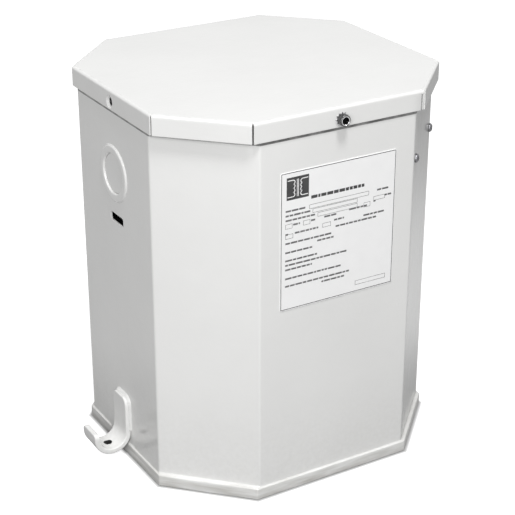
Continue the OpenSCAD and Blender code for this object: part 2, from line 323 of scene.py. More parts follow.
def powder_coat(name, dust_top, dust, rub, stretch=(1, 1, 1), line=None, hole=None):
    """White gloss coat. Its dust fades from the strength dust at the floor to none at dust_top. rub is
    how far worn places lose their gloss, and stretch pulls the specks out along an axis. line is the
    height of an overhanging edge: painted shade darkens the coat from just below it upwards, in place
    of the shadow in the gap behind it. hole is how far to the side an upright hole stands and its
    radius: its drilled wall is painted near black as shade."""
    coat = Finish(name, WHITE, 0.12, IOR=1.5)
    drift = coat.remap(coat.noise(9, 4), 0.35, 0.65, 0, 1)
    low = coat.remap(coat.axis("Z"), 0, dust_top, dust, 0)
    speckle = coat.remap(coat.noise(210, 5, stretch), 0.3, 0.7, 0, 1)
    color = coat.blend(drift, WHITE, WHITE_DEEP)
    color = coat.blend(coat.number("MULTIPLY", low, speckle), color, DUST)
    # Painted shade: a ragged dark band from just below the overhanging edge upwards, behind it.
    if line:
        start = coat.remap(coat.axis("Z"), line - PAINTED_SHADE_STARTS, line - PAINTED_SHADE_FULL, 0, 1)
        thick = coat.remap(coat.noise(70, 4), 0.3, 0.6, 0.7, 0.95)
        color = coat.blend(coat.number("MULTIPLY", start, thick), color, PAINTED_SHADE)
    # Painted shade: the drilled wall of an upright hole is painted near black.
    if hole:
        centre, radius = hole
        side = coat.number("ABSOLUTE", coat.axis("X"))
        flat = coat.add("ShaderNodeCombineXYZ", {"X": side, "Y": coat.axis("Y")}).outputs[0]
        far = coat.vector("LENGTH", coat.vector("SUBTRACT", flat, (centre, 0, 0)), result="Value")
        color = coat.blend(coat.remap(far, radius, radius + 0.5 * MM, 1, 0), color, PAINTED_HOLE_SHADE)
    coat.set("Base Color", color)
    worn = coat.remap(coat.noise(55, 6, stretch), 0.6, 0.75, 0, rub)
    gloss = coat.remap(coat.noise(14, 3), 0.3, 0.7, 0.09, 0.16)
    coat.set("Roughness", coat.number("ADD", gloss, worn))
    ripple = coat.bump(coat.noise(260, 2, stretch), 0.06 * MM)
    coat.set("Normal", coat.bump(coat.noise(45, 2), 0.2 * MM, ripple))
    return coat.material


COAT = powder_coat("powder_coat", dust_top=30 * MM, dust=0.3, rub=0.06)
# The wall's coat carries the painted shade under and behind the lid's skirt.
COAT_WALL = powder_coat("powder_coat_wall", dust_top=120 * MM, dust=0.16, rub=0.06, line=LID_LOW[2])
# The hooks' coat carries painted shade in the drilled hole of each hook.
HOOK_HOLE = (HALF_W + BAR_T / 2 + BEND_MID_R, HOOK_HOLE_R + 0.1 * MM)
COAT_HANDLED = powder_coat("powder_coat_handled", dust_top=60 * MM, dust=0.2, rub=0.2, hole=HOOK_HOLE)
COAT_BASE = powder_coat("powder_coat_base", dust_top=26 * MM, dust=1.0, rub=0.2, stretch=(0.12, 0.12, 1))
print("coats:", COAT.name, COAT_WALL.name, COAT_HANDLED.name, COAT_BASE.name)

# %% [markdown]
# ### Zinc plate, label stock, ink and cast resin
#
# The lid's cap screws are blackened steel, a dark skin that shines where it is oiled. The socket is
# painted near black as shade, and the ring round its mouth is painted bright, partly as worn metal
# and partly as a painted highlight. The other fixings are zinc plated: a metal colour with cloudy
# roughness and fine turning marks. The pan head screws get a darker zinc, whose colour paints in the
# dark surroundings that they reflect. The label is a smooth printed film. The ink is a second
# finish on thin raised print, because screen printing leaves a layer that can be felt. The cast
# block in the bottom is filled resin, matt and slightly grainy.


# %% Zinc, label, ink and resin
def zinc_plate(name, color, stretch=(1, 1, 1)):
    """Plated steel with lines left by turning or rolling, pulled out by stretch."""
    zinc = Finish(name, color, 0.32, Metallic=1.0)
    cloud = zinc.remap(zinc.noise(420, 4), 0.35, 0.65, 0, 1)
    zinc.set("Base Color", zinc.blend(cloud, color, tuple(c * 0.8 for c in color)))
    zinc.set("Roughness", zinc.remap(zinc.noise(900, 3, stretch), 0.3, 0.7, 0.24, 0.44))
    zinc.set("Normal", zinc.bump(zinc.noise(2400, 2, stretch), 0.02 * MM))
    return zinc.material


def film(name, color, deep, roughness):
    """Smooth film or ink: a slight drift of colour, an even sheen and a very fine grain."""
    made = Finish(name, color, roughness)
    made.set("Base Color", made.blend(made.remap(made.noise(60, 4), 0.35, 0.65, 0, 1), color, deep))
    made.set("Roughness", made.remap(made.noise(180, 3), 0.3, 0.7, roughness - 0.05, roughness + 0.06))
    made.set("Normal", made.bump(made.noise(1500, 2), 0.01 * MM))
    return made.material


SOCKET_EDGE = (3.95 * MM, 4.1 * MM)
WORN_EDGE_AND_HIGHLIGHT = (4.5 * MM, 4.9 * MM)


def black_oxide(name, axis_z):
    """Blackened steel round a level axis at the height axis_z. How far a point lies from the axis tells
    the parts apart: painted shade in the socket, a bright ring at its mouth that is partly worn metal
    and partly a painted highlight, then the skin."""
    steel = Finish(name, (0.12, 0.12, 0.12), 0.3, Metallic=0.7)
    flat = steel.vector("MULTIPLY", steel.place, (1, 0, 1))
    radius = steel.vector("LENGTH", steel.vector("SUBTRACT", flat, (0, 0, axis_z)), result="Value")
    cloud = steel.remap(steel.noise(500, 5), 0.45, 0.75, 0, 1)
    color = steel.blend(cloud, (0.07, 0.07, 0.072), (0.2, 0.2, 0.2))
    # Bright ring round the socket: partly worn metal, partly a painted highlight.
    color = steel.blend(steel.remap(radius, *WORN_EDGE_AND_HIGHLIGHT, 1, 0), color, (0.85, 0.85, 0.86))
    # Painted shade: the socket is near black and loses its gloss, whatever the lamps do.
    color = steel.blend(steel.remap(radius, *SOCKET_EDGE, 1, 0), color, (0.004, 0.004, 0.004))
    steel.set("Base Color", color)
    steel.set("Metallic", steel.remap(radius, *SOCKET_EDGE, 0, 0.8))
    steel.set("Specular IOR Level", steel.remap(radius, *SOCKET_EDGE, 0.05, 0.5))
    steel.set("Roughness", steel.remap(steel.noise(700, 3), 0.3, 0.7, 0.16, 0.34))
    steel.set("Normal", steel.bump(steel.noise(1800, 2), 0.02 * MM))
    return steel.material


BLACK = black_oxide("black_oxide", FIX_Z)
ZINC = zinc_plate("zinc_plate", (0.55, 0.55, 0.56))
# Zinc darkened in colour: a painted reflection of dark surroundings on the pan head screws.
ZINC_PAINTED_DARK = zinc_plate("zinc_painted_dark", (0.22, 0.22, 0.23))
ZINC_SHEET = zinc_plate("zinc_sheet", (0.5, 0.5, 0.51), stretch=(1, 1, 0.1))
LABEL = film("label_film", (0.95, 0.95, 0.95), (0.93, 0.93, 0.93), 0.35)
INK = film("label_ink", (0.03, 0.03, 0.032), (0.05, 0.05, 0.05), 0.45)
INK_GREY = film("label_ink_grey", (0.1, 0.1, 0.1), (0.15, 0.15, 0.15), 0.5)
RESIN = film("cast_resin", (0.05, 0.05, 0.05), (0.07, 0.068, 0.065), 0.65)
print("other finishes:", [m.name for m in (BLACK, ZINC, ZINC_PAINTED_DARK, ZINC_SHEET, LABEL, INK, INK_GREY, RESIN)])

# %% [markdown]
# ## Flat work: grid lines, punched holes
#
# A sheet is drawn flat on grid lines u and v. Where a hole goes, a window of whole cells is left
# out. Rings of points then run from the window's edge to the hole's outline, so the hole is truly
# round and the faces round it stay four-sided. A boolean cut would be quicker to write, but it
# leaves long thin faces that show up in a gloss finish.


# %% Grid lines and punched sheets
SAME = 1e-7


def grid_lines(low, high, windows=(), pitch=12 * MM, margin=0):
    """Lines from low to high. Each window (low, high, steps) is split evenly into its steps, and what
    lies between into even steps no longer than pitch. margin adds a line just inside both ends."""
    windows = sorted(windows)
    if margin:
        windows = [(low, low + margin, 1), *windows, (high - margin, high, 1)]
    lines, here = [np.array([low])], low
    for start, stop, steps in [*windows, (high, high, 0)]:
        if start > here + SAME:
            lines.append(np.linspace(here, start, math.ceil((start - here) / pitch) + 1)[1:])
        if steps and stop > here + SAME:
            lines.append(np.linspace(start, stop, steps + 1)[1:])
        here = max(here, stop)
    return np.concatenate(lines)


def window_edge(u, v, window):
    """Grid points along a window's edge, anticlockwise, as a closed loop without a repeat."""
    u_low, u_high, v_low, v_high = window
    across = u[(u > u_low - SAME) & (u < u_high + SAME)]
    up = v[(v > v_low - SAME) & (v < v_high + SAME)]
    bottom = np.stack([across[:-1], np.full(len(across) - 1, up[0])], -1)
    right = np.stack([np.full(len(up) - 1, across[-1]), up[:-1]], -1)
    top = np.stack([across[:0:-1], np.full(len(across) - 1, up[-1])], -1)
    left = np.stack([np.full(len(up) - 1, across[0]), up[:0:-1]], -1)
    return np.concatenate([bottom, right, top, left])


def punched(u, v, holes):
    """Patches in (u, v, depth) of a flat sheet with holes. A hole is (window, outline, profile): the
    outline turns window-edge points into points on the hole's edge moved out by an amount, and the
    profile is a list of (amount, depth) rows that the rings pass through after the window's edge."""
    across, up = np.meshgrid(u, v)
    keep = np.ones((len(v) - 1, len(u) - 1), bool)
    mid_u, mid_v = (u[1:] + u[:-1]) / 2, (v[1:] + v[:-1]) / 2
    made = []
    for window, outline, profile in holes:
        in_u = (mid_u > window[0]) & (mid_u < window[1])
        inside = in_u & ((mid_v > window[2]) & (mid_v < window[3]))[:, None]
        keep &= ~inside
        edge = window_edge(u, v, window)
        first = outline(edge, profile[0][0])
        share = np.linspace(0, 1, 4)[:-1, None, None]
        flat = edge + (first - edge) * share
        rows = [at_height(flat, 0)]
        rows += [at_height(outline(edge, amount), depth)[None] for amount, depth in profile]
        made.append(patch(np.concatenate(rows), wrap=ROWS_CLOSE))
    return [patch(np.stack([across, up, np.zeros_like(up)], -1), keep), *made]


def round_hole(centre, radius):
    """Outline of a round hole: each edge point is carried straight towards the centre until it is
    radius plus the amount away."""
    centre = np.array(centre)

    def outline(edge, amount):
        away = edge - centre
        return centre + away / np.linalg.norm(away, axis=1, keepdims=True) * (radius + amount)
    return outline


def oblong_hole(window, centre, half_u, half_v):
    """Outline of a rectangular hole: the window's rectangle shrunk onto the hole's rectangle, side
    onto side, with its corners drawn in by a third of a millimetre."""
    mid = np.array([(window[0] + window[1]) / 2, (window[2] + window[3]) / 2])
    half = np.array([(window[1] - window[0]) / 2, (window[3] - window[2]) / 2])

    def outline(edge, amount):
        share = (edge - mid) / half
        corner = (np.abs(share).min(1, keepdims=True) > 0.999) * 0.35 * MM
        size = np.array([half_u, half_v]) + amount
        return np.array(centre) + share * (size - corner)
    return outline


print("example grid lines in mm:", grid_lines(0, 50 * MM, [(20 * MM, 30 * MM, 2)]) / MM)

# %% [markdown]
# ## Folding: a path of straight legs and bends
#
# A press brake leaves flats joined by bends of one radius. A path of straight legs and arcs
# describes that exactly. Every point of the flat sheet is carried to the same distance along the
# path, and its depth is measured square to the path.


# %% Paths
def route(start, heading, legs):
    """A path from a start point and heading. Legs are (length, radius): radius 0 is straight, above 0
    turns left and below 0 turns right. Kept as rows of distance, x, y, heading and curvature."""
    rows, x, y, gone = [], *start, 0.0
    for length, radius in legs:
        bend = 1 / radius if radius else 0.0
        rows.append((gone, x, y, heading, bend))
        if bend:
            x += (math.sin(heading + bend * length) - math.sin(heading)) / bend
            y -= (math.cos(heading + bend * length) - math.cos(heading)) / bend
        else:
            x += math.cos(heading) * length
            y += math.sin(heading) * length
        heading += bend * length
        gone += length
    return np.array(rows), gone


def along(path, distance):
    """Points and left-hand normals at distances along a path. On an arc the point is the start plus
    the change of (sin, -cos) of the heading over the curvature; on a straight leg it runs ahead."""
    table = path[0]
    distance = np.asarray(distance, float)
    leg = np.clip(np.searchsorted(table[:, 0], distance, side="right") - 1, 0, len(table) - 1)
    gone, x, y, heading, bend = np.moveaxis(table[leg], -1, 0)
    ahead = distance - gone
    now = heading + bend * ahead
    safe = np.where(bend == 0, 1, bend)
    px = x + np.where(bend == 0, ahead * np.cos(heading), (np.sin(now) - np.sin(heading)) / safe)
    py = y + np.where(bend == 0, ahead * np.sin(heading), (np.cos(heading) - np.cos(now)) / safe)
    return np.stack([px, py], -1), np.stack([-np.sin(now), np.cos(now)], -1)


def octagon(half_w, half_d, leg):
    """Corners of an eight-sided outline, anticlockwise from the left end of the front."""
    return np.array([[leg - half_w, -half_d], [half_w - leg, -half_d], [half_w, leg - half_d],
                     [half_w, half_d - leg], [half_w - leg, half_d], [leg - half_w, half_d],
                     [-half_w, half_d - leg], [-half_w, leg - half_d]])


def moved_in(leg, amount):
    """Corner cut of the outline whose sides have all moved in by an amount."""
    return leg - amount * (2 - math.sqrt(2))


quarter = route((0, 0), 0, [(math.pi / 2 * 10 * MM, 10 * MM)])
print("a quarter turn of 10 mm radius ends at, in mm:", (along(quarter, quarter[1])[0] / MM).round(3))


# %% [markdown]
# ## The housing wrap
#
# One strip of 2 mm sheet goes right round the unit. It is punched flat, with the round openings of
# the knockouts, the slots under them and the fixing holes, then folded at the eight corners and
# seam welded. The model does the same. The lower part of each panel is hollowed by a fraction of a
# millimetre, because a flat panel that has been welded round its edges pulls slightly out of true
# and its reflections bend.

# %% Lay out and punch the strip
trim = WALL_BEND_R * math.tan(math.pi / 8)
ring = octagon(HALF_W, HALF_D, CORNER_LEG)
side_length = np.linalg.norm(np.roll(ring, -1, 0) - ring, axis=1)
bend_length = WALL_BEND_R * math.pi / 4
legs = [leg for length in side_length for leg in ((length - 2 * trim, 0), (bend_length, WALL_BEND_R))]
wrap_path = route((ring[0][0] + trim, ring[0][1]), 0, legs)
side_start = wrap_path[0][::2, 0]
side_middle = side_start + side_length / 2 - trim
Z_LOW, Z_HIGH = WALL_LOW[2], WALL_HIGH[2]
KO_STEP = 4.5 * MM
KO_WINDOW = 8 * KO_STEP
SLOT_WINDOW = 8 * MM
FIX_WINDOW = 10 * MM
wall_v = grid_lines(Z_LOW, Z_HIGH, [
    (SLOT_Z - SLOT_WINDOW, SLOT_Z + SLOT_WINDOW, 4),
    (KNOCKOUT_Z - KO_WINDOW, KNOCKOUT_Z + KO_WINDOW, 16),
    (FIX_Z - FIX_WINDOW, FIX_Z + FIX_WINDOW, 6),
], margin=1 * MM)
print("wrap length and height in mm:", round(wrap_path[1] / MM, 1), round((Z_HIGH - Z_LOW) / MM, 1))

# %% Holes of the eight sides
SCREW_OFF = CORNER_LEG / math.sqrt(2) - 8.5 * MM
WALL_SCREW_Z = middle("wall_screw_front")[2]
PLAIN_CUT = [(0.6 * MM, 0), (0, 0)]
fix_v_window = (FIX_Z - FIX_WINDOW, FIX_Z + FIX_WINDOW)
slot_v_window = (SLOT_Z - SLOT_WINDOW, SLOT_Z + SLOT_WINDOW)
ko_v_window = (KNOCKOUT_Z - KO_WINDOW, KNOCKOUT_Z + KO_WINDOW)
wall_u, wall_holes = [], []
for side in range(8):
    mid, low = side_middle[side], side_start[side]
    high = low + legs[2 * side][0]
    windows = []
    if side in (2, 6):
        windows = [(mid - KO_WINDOW, mid + KO_WINDOW, 16)]
        fix = (mid - 3 * KO_STEP, mid + 3 * KO_STEP, *fix_v_window)
        wall_holes.append((fix, round_hole((mid, FIX_Z), DIMPLE_R + 0.5 * MM), PLAIN_CUT))
        knockout = (mid - KO_WINDOW, mid + KO_WINDOW, *ko_v_window)
        wall_holes.append((knockout, round_hole((mid, KNOCKOUT_Z), RING_R + 0.2 * MM), PLAIN_CUT))
        forward = 1 if side == 6 else -1
        slot = (mid + (forward - 4) * KO_STEP, mid + (forward + 4) * KO_STEP, *slot_v_window)
        shape = oblong_hole(slot, (mid + forward * SLOT_SHIFT, SLOT_Z), SLOT_W / 2, SLOT_H / 2)
        wall_holes.append((slot, shape, PLAIN_CUT))
    elif side in (0, 4):
        windows = [(mid - FIX_WINDOW, mid + FIX_WINDOW, 6)]
        fix = (mid - FIX_WINDOW, mid + FIX_WINDOW, *fix_v_window)
        wall_holes.append((fix, round_hole((mid, FIX_Z), HOLE_R), PLAIN_CUT))
    elif side == 1:
        windows = [(mid + s * SCREW_OFF - 5 * MM, mid + s * SCREW_OFF + 5 * MM, 4) for s in (-1, 1)]
        for start, stop, _ in windows:
            window = (start, stop, KNOCKOUT_Z + KO_STEP, KNOCKOUT_Z + 5 * KO_STEP)
            shape = round_hole(((start + stop) / 2, WALL_SCREW_Z), 2.5 * MM)
            wall_holes.append((window, shape, [(0.4 * MM, 0), (0, 0)]))
    wall_u.append(grid_lines(low, high, windows, margin=1.5 * MM))
    wall_u.append(np.linspace(high, high + bend_length, 7)[1:])
wall_u = np.unique(np.concatenate(wall_u).round(9))
print("grid of the strip:", len(wall_u), "by", len(wall_v), "holes:", len(wall_holes))


# %% Fold the strip round
HOLLOW = 0.25 * MM
HOLLOW_TOP = 270 * MM


def hollow(u, v):
    """Depth of the slight hollow of a panel: HOLLOW times sin squared across the panel and sin squared
    up its lower part, and nothing at the folds and round the holes above."""
    side = np.clip(np.searchsorted(side_start, u, side="right") - 1, 0, 7)
    across = np.clip((u - side_start[side]) / (side_length[side] - 2 * trim), 0, 1)
    up = np.clip((v - Z_LOW) / (HOLLOW_TOP - Z_LOW), 0, 1)
    return HOLLOW * np.sin(math.pi * across) ** 2 * np.sin(math.pi * up) ** 2


def fold_wrap(flat):
    """Carries (u, v, depth) to the housing: u runs round the path, v is the height."""
    u, v, depth = np.moveaxis(flat, -1, 0)
    place, left = along(wrap_path, u)
    place = place + left * (depth + hollow(u, v))[..., None]
    return np.concatenate([place, v[..., None]], -1)


wall_parts = punched(wall_u, wall_v, wall_holes)
wall_patches = [patch(fold_wrap(grid), keep, wrap) for grid, keep, wrap in wall_parts]
make_piece("housing_wrap_sheet", wall_patches, ["housing_wrap"], COAT_WALL,
           sheet=WALL_T, soften=0.3 * MM)

# %% [markdown]
# ## The lid
#
# The lid is an octagon with eight tabs, folded down to make the skirt. Where two tabs meet there
# is a narrow slit, since the corners are notched so that the folds don't fight each other. Its
# corner cuts are shorter than the housing's, so the skirt stands off the corner walls. On the left
# and the right the fixing hole sits in a pressed dimple, which would let a screw head seat lower.
# The tabs are punched flat and dimpled, then folded, so the slits come out by themselves. The front
# tab has one more slit near its right end, where the joint with the corner tab comes round the fold.

# %% Fold lines of the lid
# The top stays a hair under the CAD's, because adding the sheet thickness swells the folds a little.
LID_TOP = LID_HIGH[2] - 0.08 * MM
lid_flat = octagon(LID_HIGH[0] - LID_BEND_R, LID_HIGH[1] - LID_BEND_R, moved_in(LID_LEG, LID_BEND_R))
skirt = LID_TOP - LID_LOW[2] - LID_BEND_R
lid_bend = LID_BEND_R * math.pi / 2
fold_path = route((0, LID_TOP), 0, [(lid_bend, -LID_BEND_R), (skirt, 0)])
fix_v = lid_bend + LID_TOP - LID_BEND_R - FIX_Z
below = fold_path[1] - fix_v
print("skirt below the fold in mm:", round(skirt / MM, 2), "hole to lower edge:", round(below / MM, 2))


# %% Punch and fold the tabs
def dimple(steps):
    """Rows of the pressed dimple: from its rim to the hole, sinking along a cone whose top is eased
    in over its first third by a parabola."""
    share = np.linspace(0, 1, steps)
    ease = 0.35
    sink = np.where(share < ease, share ** 2 / (2 * ease), share - ease / 2) / (1 - ease / 2)
    return list(zip((DIMPLE_R - HOLE_R) * (1 - share), DIMPLE_DEPTH * sink))


EXTRA_SLIT = (3.2 * MM, 1.5 * MM)
lid_patches, rim = [], []
for side in range(8):
    start, stop = lid_flat[side], lid_flat[(side + 1) % 8]
    length = np.linalg.norm(stop - start)
    ahead = (stop - start) / length
    outward = np.array([ahead[1], -ahead[0]])
    fix_lines = (fix_v - below, fold_path[1] - 1 * MM, 10)
    tab_lines = grid_lines(lid_bend, fold_path[1], [fix_lines], margin=1 * MM)
    v = np.concatenate([np.linspace(0, lid_bend, 8)[:-1], tab_lines])
    holes, windows = [], []
    if side % 2 == 0:
        window_low = v[np.abs(v - fix_lines[0]).argmin()]
        window = (length / 2 - FIX_WINDOW, length / 2 + FIX_WINDOW, window_low, fold_path[1])
        windows = [(window[0], window[1], 14)]
        profile = dimple(9) if side in (2, 6) else [(0.8 * MM, 0), (0, 0)]
        holes = [(window, round_hole((length / 2, fix_v), HOLE_R), profile)]
    if side == 0:
        windows.append((length - EXTRA_SLIT[0], length - EXTRA_SLIT[1], 1))
    u = grid_lines(0, length, windows, margin=1 * MM)
    parts = punched(u, v, holes)
    if side == 0:
        mid_u = (u[1:] + u[:-1]) / 2
        slit = (mid_u > length - EXTRA_SLIT[0]) & (mid_u < length - EXTRA_SLIT[1])
        parts[0][1][np.ix_(v[:-1] > lid_bend + 0.5 * MM, slit)] = False
    for grid, keep, wrap in parts:
        drop, left = along(fold_path, grid[..., 1])
        drop = drop - left * grid[..., 2:]
        flat = start + grid[..., :1] * ahead + drop[..., :1] * outward
        lid_patches.append(patch(np.concatenate([flat, drop[..., 1:]], -1), keep, wrap))
    rim.append(start + u[:-1, None] * ahead)
rim = np.concatenate(rim)
print("points round the fold lines:", len(rim))

# %% Top of the lid
LID_SAG = 0.35 * MM
share = np.array([0, 0.25, 0.5, 0.75, 0.9, 0.97, 1])[:, None]
height = np.broadcast_to(LID_TOP - LID_SAG * (1 - share ** 2) ** 2, (len(share), len(rim)))
top = np.stack([share * rim[:, 0], share * rim[:, 1], height], -1)
lid_patches.append(patch(top, wrap=ROWS_CLOSE))
make_piece("lid_sheet", lid_patches, ["lid"], COAT, sheet=LID_T, soften=0.35 * MM)

# %% [markdown]
# ## Turned pieces: one profile, swept round
#
# Knockouts, screws and washers all come from a profile turned round an axis. The profile's corners
# are rounded first, because a perfectly sharp edge shows no highlight. The sweep may change the
# radius with the angle, which makes a hexagon socket, a knurl or washer teeth out of the same
# formula.


# %% Profiles and sweeps
def rounded(points, radii, steps=4):
    """A line of points whose corners are replaced by arcs. An arc's centre lies on the corner's
    bisector, radius over sin of half the angle away, and its points turn evenly about it."""
    points = np.asarray(points, float)
    made = [points[0]]
    for corner, before, after, radius in zip(points[1:-1], points[:-2], points[2:], radii):
        back = (before - corner) / np.linalg.norm(before - corner)
        ahead = (after - corner) / np.linalg.norm(after - corner)
        half = math.acos(np.clip(back @ ahead, -1, 1)) / 2
        if not radius:
            made.append(corner)
            continue
        centre = corner + (back + ahead) / np.linalg.norm(back + ahead) * radius / math.sin(half)
        reach = radius / math.tan(half)
        first, last = corner + back * reach - centre, corner + ahead * reach - centre
        turn = math.pi - 2 * half
        t = np.linspace(0, 1, steps + 1)[:, None]
        made += list(centre + (np.sin((1 - t) * turn) * first + np.sin(t * turn) * last) / math.sin(turn))
    made.append(points[-1])
    return np.array(made)


def turned(radius, height, steps):
    """Rows of points: across = radius cos a, up = radius sin a, out = height. radius and height are
    rows by one, or rows by steps where they change with the angle a."""
    angle = np.arange(steps) / steps * 2 * math.pi
    radius, height = np.broadcast_arrays(radius, height + np.zeros((1, steps)))
    return np.stack([radius * np.cos(angle), radius * np.sin(angle), height], -1)


def on_wall(grid, origin, outward):
    """Sets (across, up, out) points on a wall: out runs along outward, up is vertical, and across is
    up turned a quarter about outward."""
    outward = np.array(outward, float)
    up = np.array([0, 0, 1.0])
    return np.array(origin) + grid @ np.array([np.cross(up, outward), up, outward])


SIDES = {"left": (-1, 0, 0), "right": (1, 0, 0), "front": (0, -1, 0), "back": (0, 1, 0)}
print("walls face:", SIDES)

# %% [markdown]
# ## Knockouts
#
# Each knockout is a ring round a disc, both half punched out of the wall so that an electrician
# can knock out the size that the conduit needs. The punch leaves the ring proud of the wall and
# presses the disc back level. The punch drags the edges into broad soft shoulders and the paint
# fills them further, so both edges of the ring follow a sine, and its outer edge ends in a small
# flare that lies on the wall.

# %% Rings and discs
RAISE = 1.9 * MM
FLARE = 0.03 * MM
INNER_SHOULDER, OUTER_SHOULDER = 1.5 * MM, 2.4 * MM
ring_inner = DISC_R + 0.1 * MM
ring_back = 1.2 * MM - WALL_T
slope = np.linspace(0, 1, 9)
rise = RAISE * np.sin(slope * math.pi / 2)
inner_edge = np.stack([ring_inner - 0.05 * MM + INNER_SHOULDER * slope, rise], -1)
outer_edge = np.stack([RING_R + 0.5 * MM - OUTER_SHOULDER * slope, np.maximum(rise, FLARE)], -1)
ring_profile = np.concatenate([
    [(ring_inner + 0.3 * MM, ring_back), (ring_inner - 0.05 * MM, -0.3 * MM)], inner_edge, outer_edge[::-1],
    [(RING_R + 0.9 * MM, FLARE), (RING_R + 0.3 * MM, ring_back)]])
disc_edge = DISC_R + 0.1 * MM
disc_profile = rounded([
    (0, 0), (0.4 * DISC_R, 0), (0.8 * DISC_R, 0), (disc_edge, 0), (disc_edge, -WALL_T), (0, -WALL_T),
], [0, 0, 0.9 * MM, 0.2 * MM])
for name in ("left", "right"):
    origin = np.array(SIDES[name]) * HALF_W + [0, 0, KNOCKOUT_Z]
    ring_grid = turned(ring_profile[:, :1], ring_profile[:, 1:], 128)
    ring_patch = patch(on_wall(ring_grid, origin, SIDES[name]), wrap=BOTH_CLOSE)
    make_piece(f"knockout_ring_{name}_pressed", [ring_patch], [f"knockout_ring_{name}"], COAT)
    disc_grid = turned(disc_profile[:, :1], disc_profile[:, 1:], 128)
    disc_patch = patch(on_wall(disc_grid, origin, SIDES[name]), wrap=ROWS_CLOSE)
    make_piece(f"knockout_disc_{name}_pressed", [disc_patch], [f"knockout_disc_{name}"], COAT)

# %% [markdown]
# ## Lid screws and toothed washers
#
# The lid is held by socket head cap screws. The socket is a hexagon: its radius at an angle is half
# the width across flats over the cosine of the angle from the nearest flat. The head's side has a
# fine knurl. The washer is the kind with twisted teeth that bite into the paint and ground the lid.


# %% Cap screw
def hexagon(steps, across_flats):
    """Distance from the middle of a hexagon to its side at evenly spaced angles."""
    angle = np.arange(steps) / steps * 2 * math.pi
    from_flat = (angle + math.pi / 6) % (math.pi / 3) - math.pi / 6
    return across_flats / 2 / np.cos(from_flat)


screw_low, screw_high = corners("lid_screw_front")
HEAD_R = (screw_high[0] - screw_low[0]) / 2
HEAD_H = 6 * MM
SHANK_R = 3.95 * MM
SHANK_LENGTH = 14 * MM
THREAD_PITCH = 1.25
seat_out = -screw_low[1] - HEAD_H
STEPS = 144
socket = hexagon(STEPS, SOCKET_AF)
knurl = HEAD_R - 0.14 * MM * (0.5 + 0.5 * np.cos(36 * np.arange(STEPS) / STEPS * 2 * math.pi)) ** 2
edge_out = rounded([(0, HEAD_H), (HEAD_R, HEAD_H), (HEAD_R, 0)], [0.8 * MM], 5)[1:-1]
screw_rows = [(0, HEAD_H - 4.4 * MM), (0.6 * socket, HEAD_H - 3.9 * MM), (socket, HEAD_H - 3.6 * MM),
              (socket, HEAD_H - 0.4 * MM), (socket + 0.35 * MM, HEAD_H), (HEAD_R - 1.1 * MM, HEAD_H)]
screw_rows += [tuple(row) for row in edge_out]
screw_rows += [(knurl, h) for h in np.linspace(4.7, 0.9, 5) * MM]
screw_rows += [(HEAD_R - 0.1 * MM, 0.5 * MM), (HEAD_R - 0.45 * MM, 0.1 * MM), (HEAD_R - 0.9 * MM, 0),
               (SHANK_R + 0.4 * MM, 0), (SHANK_R, -0.4 * MM)]
for turn in np.arange(0.5, 12.5, THREAD_PITCH):
    screw_rows += [(SHANK_R, -turn * MM), (SHANK_R - 0.35 * MM, -(turn + 0.62) * MM)]
screw_rows += [(SHANK_R - 0.2 * MM, 0.8 * MM - SHANK_LENGTH), (SHANK_R - 0.9 * MM, -SHANK_LENGTH),
               (0, -SHANK_LENGTH)]
screw_radius = np.stack([np.broadcast_to(r, STEPS) for r, _ in screw_rows])
screw_height = np.array([[h] for _, h in screw_rows])
screw_grid = turned(screw_radius, screw_height, STEPS)
print("screw head diameter:", 2 * HEAD_R / MM, "rows:", len(screw_rows))


# %% Washer with twisted teeth
def toothed_washer(outer, inner, root, teeth, thick, twist, steps):
    """A loop round the washer's section at every angle. The outline swings between root and outer as
    a squared-off cosine, and each tooth is turned about its own length: its height changes by twist
    times the sine of the angle across the tooth, growing from the root outwards."""
    angle = np.arange(steps) / steps * 2 * math.pi
    swing = np.tanh(2.6 * np.cos(teeth * angle)) / math.tanh(2.6)
    edge = root + (outer - root) * (0.5 + 0.5 * swing)
    lean = twist * np.sin(teeth * angle)
    share = np.array([0, 0.12, 0.5, 0.75, 0.9, 1, 1, 0.9, 0.75, 0.5, 0.12, 0])[:, None]
    face = np.array([0.7, 1, 1, 1, 1, 0.8, 0.2, 0, 0, 0, 0, 0.3])[:, None]
    radius = inner + (edge - inner) * share
    grow = np.clip((radius - root + 0.5 * MM) / (outer - root + 0.5 * MM), 0, 1) ** 1.2
    return turned(radius, thick * face + lean * grow, steps)


washer_low, washer_high = corners("lid_washer_front")
WASHER_R = (washer_high[0] - washer_low[0]) / 2
WASHER_T = washer_high[1] - washer_low[1]
TWIST = 0.28 * MM
washer_grid = toothed_washer(outer=WASHER_R, inner=HOLE_R, root=6.35 * MM, teeth=12, thick=0.7 * MM,
                             twist=TWIST, steps=288)
washer_grid[..., 2] += TWIST
for name in ("front", "back"):
    outward = SIDES[name]
    seat = np.array(outward) * seat_out + [0, 0, FIX_Z]
    screw_patch = patch(on_wall(screw_grid, seat, outward), wrap=ROWS_CLOSE)
    make_piece(f"lid_screw_{name}_cap", [screw_patch], [f"lid_screw_{name}"], BLACK)
    lid_face = seat - np.array(outward) * WASHER_T
    washer_patch = patch(on_wall(washer_grid, lid_face, outward), wrap=BOTH_CLOSE)
    make_piece(f"lid_washer_{name}_toothed", [washer_patch], [f"lid_washer_{name}"],
               ZINC, sharp=50)

# %% [markdown]
# ## Pan head screws in the corner wall
#
# Two small screws hold a bracket inside. A pan head has a steep side that turns over into a nearly
# flat crown, with a cross recess. The crown is a grid of angle by radius, and the recess is a
# depth taken off wherever a point lies inside one of the two arms of the cross.

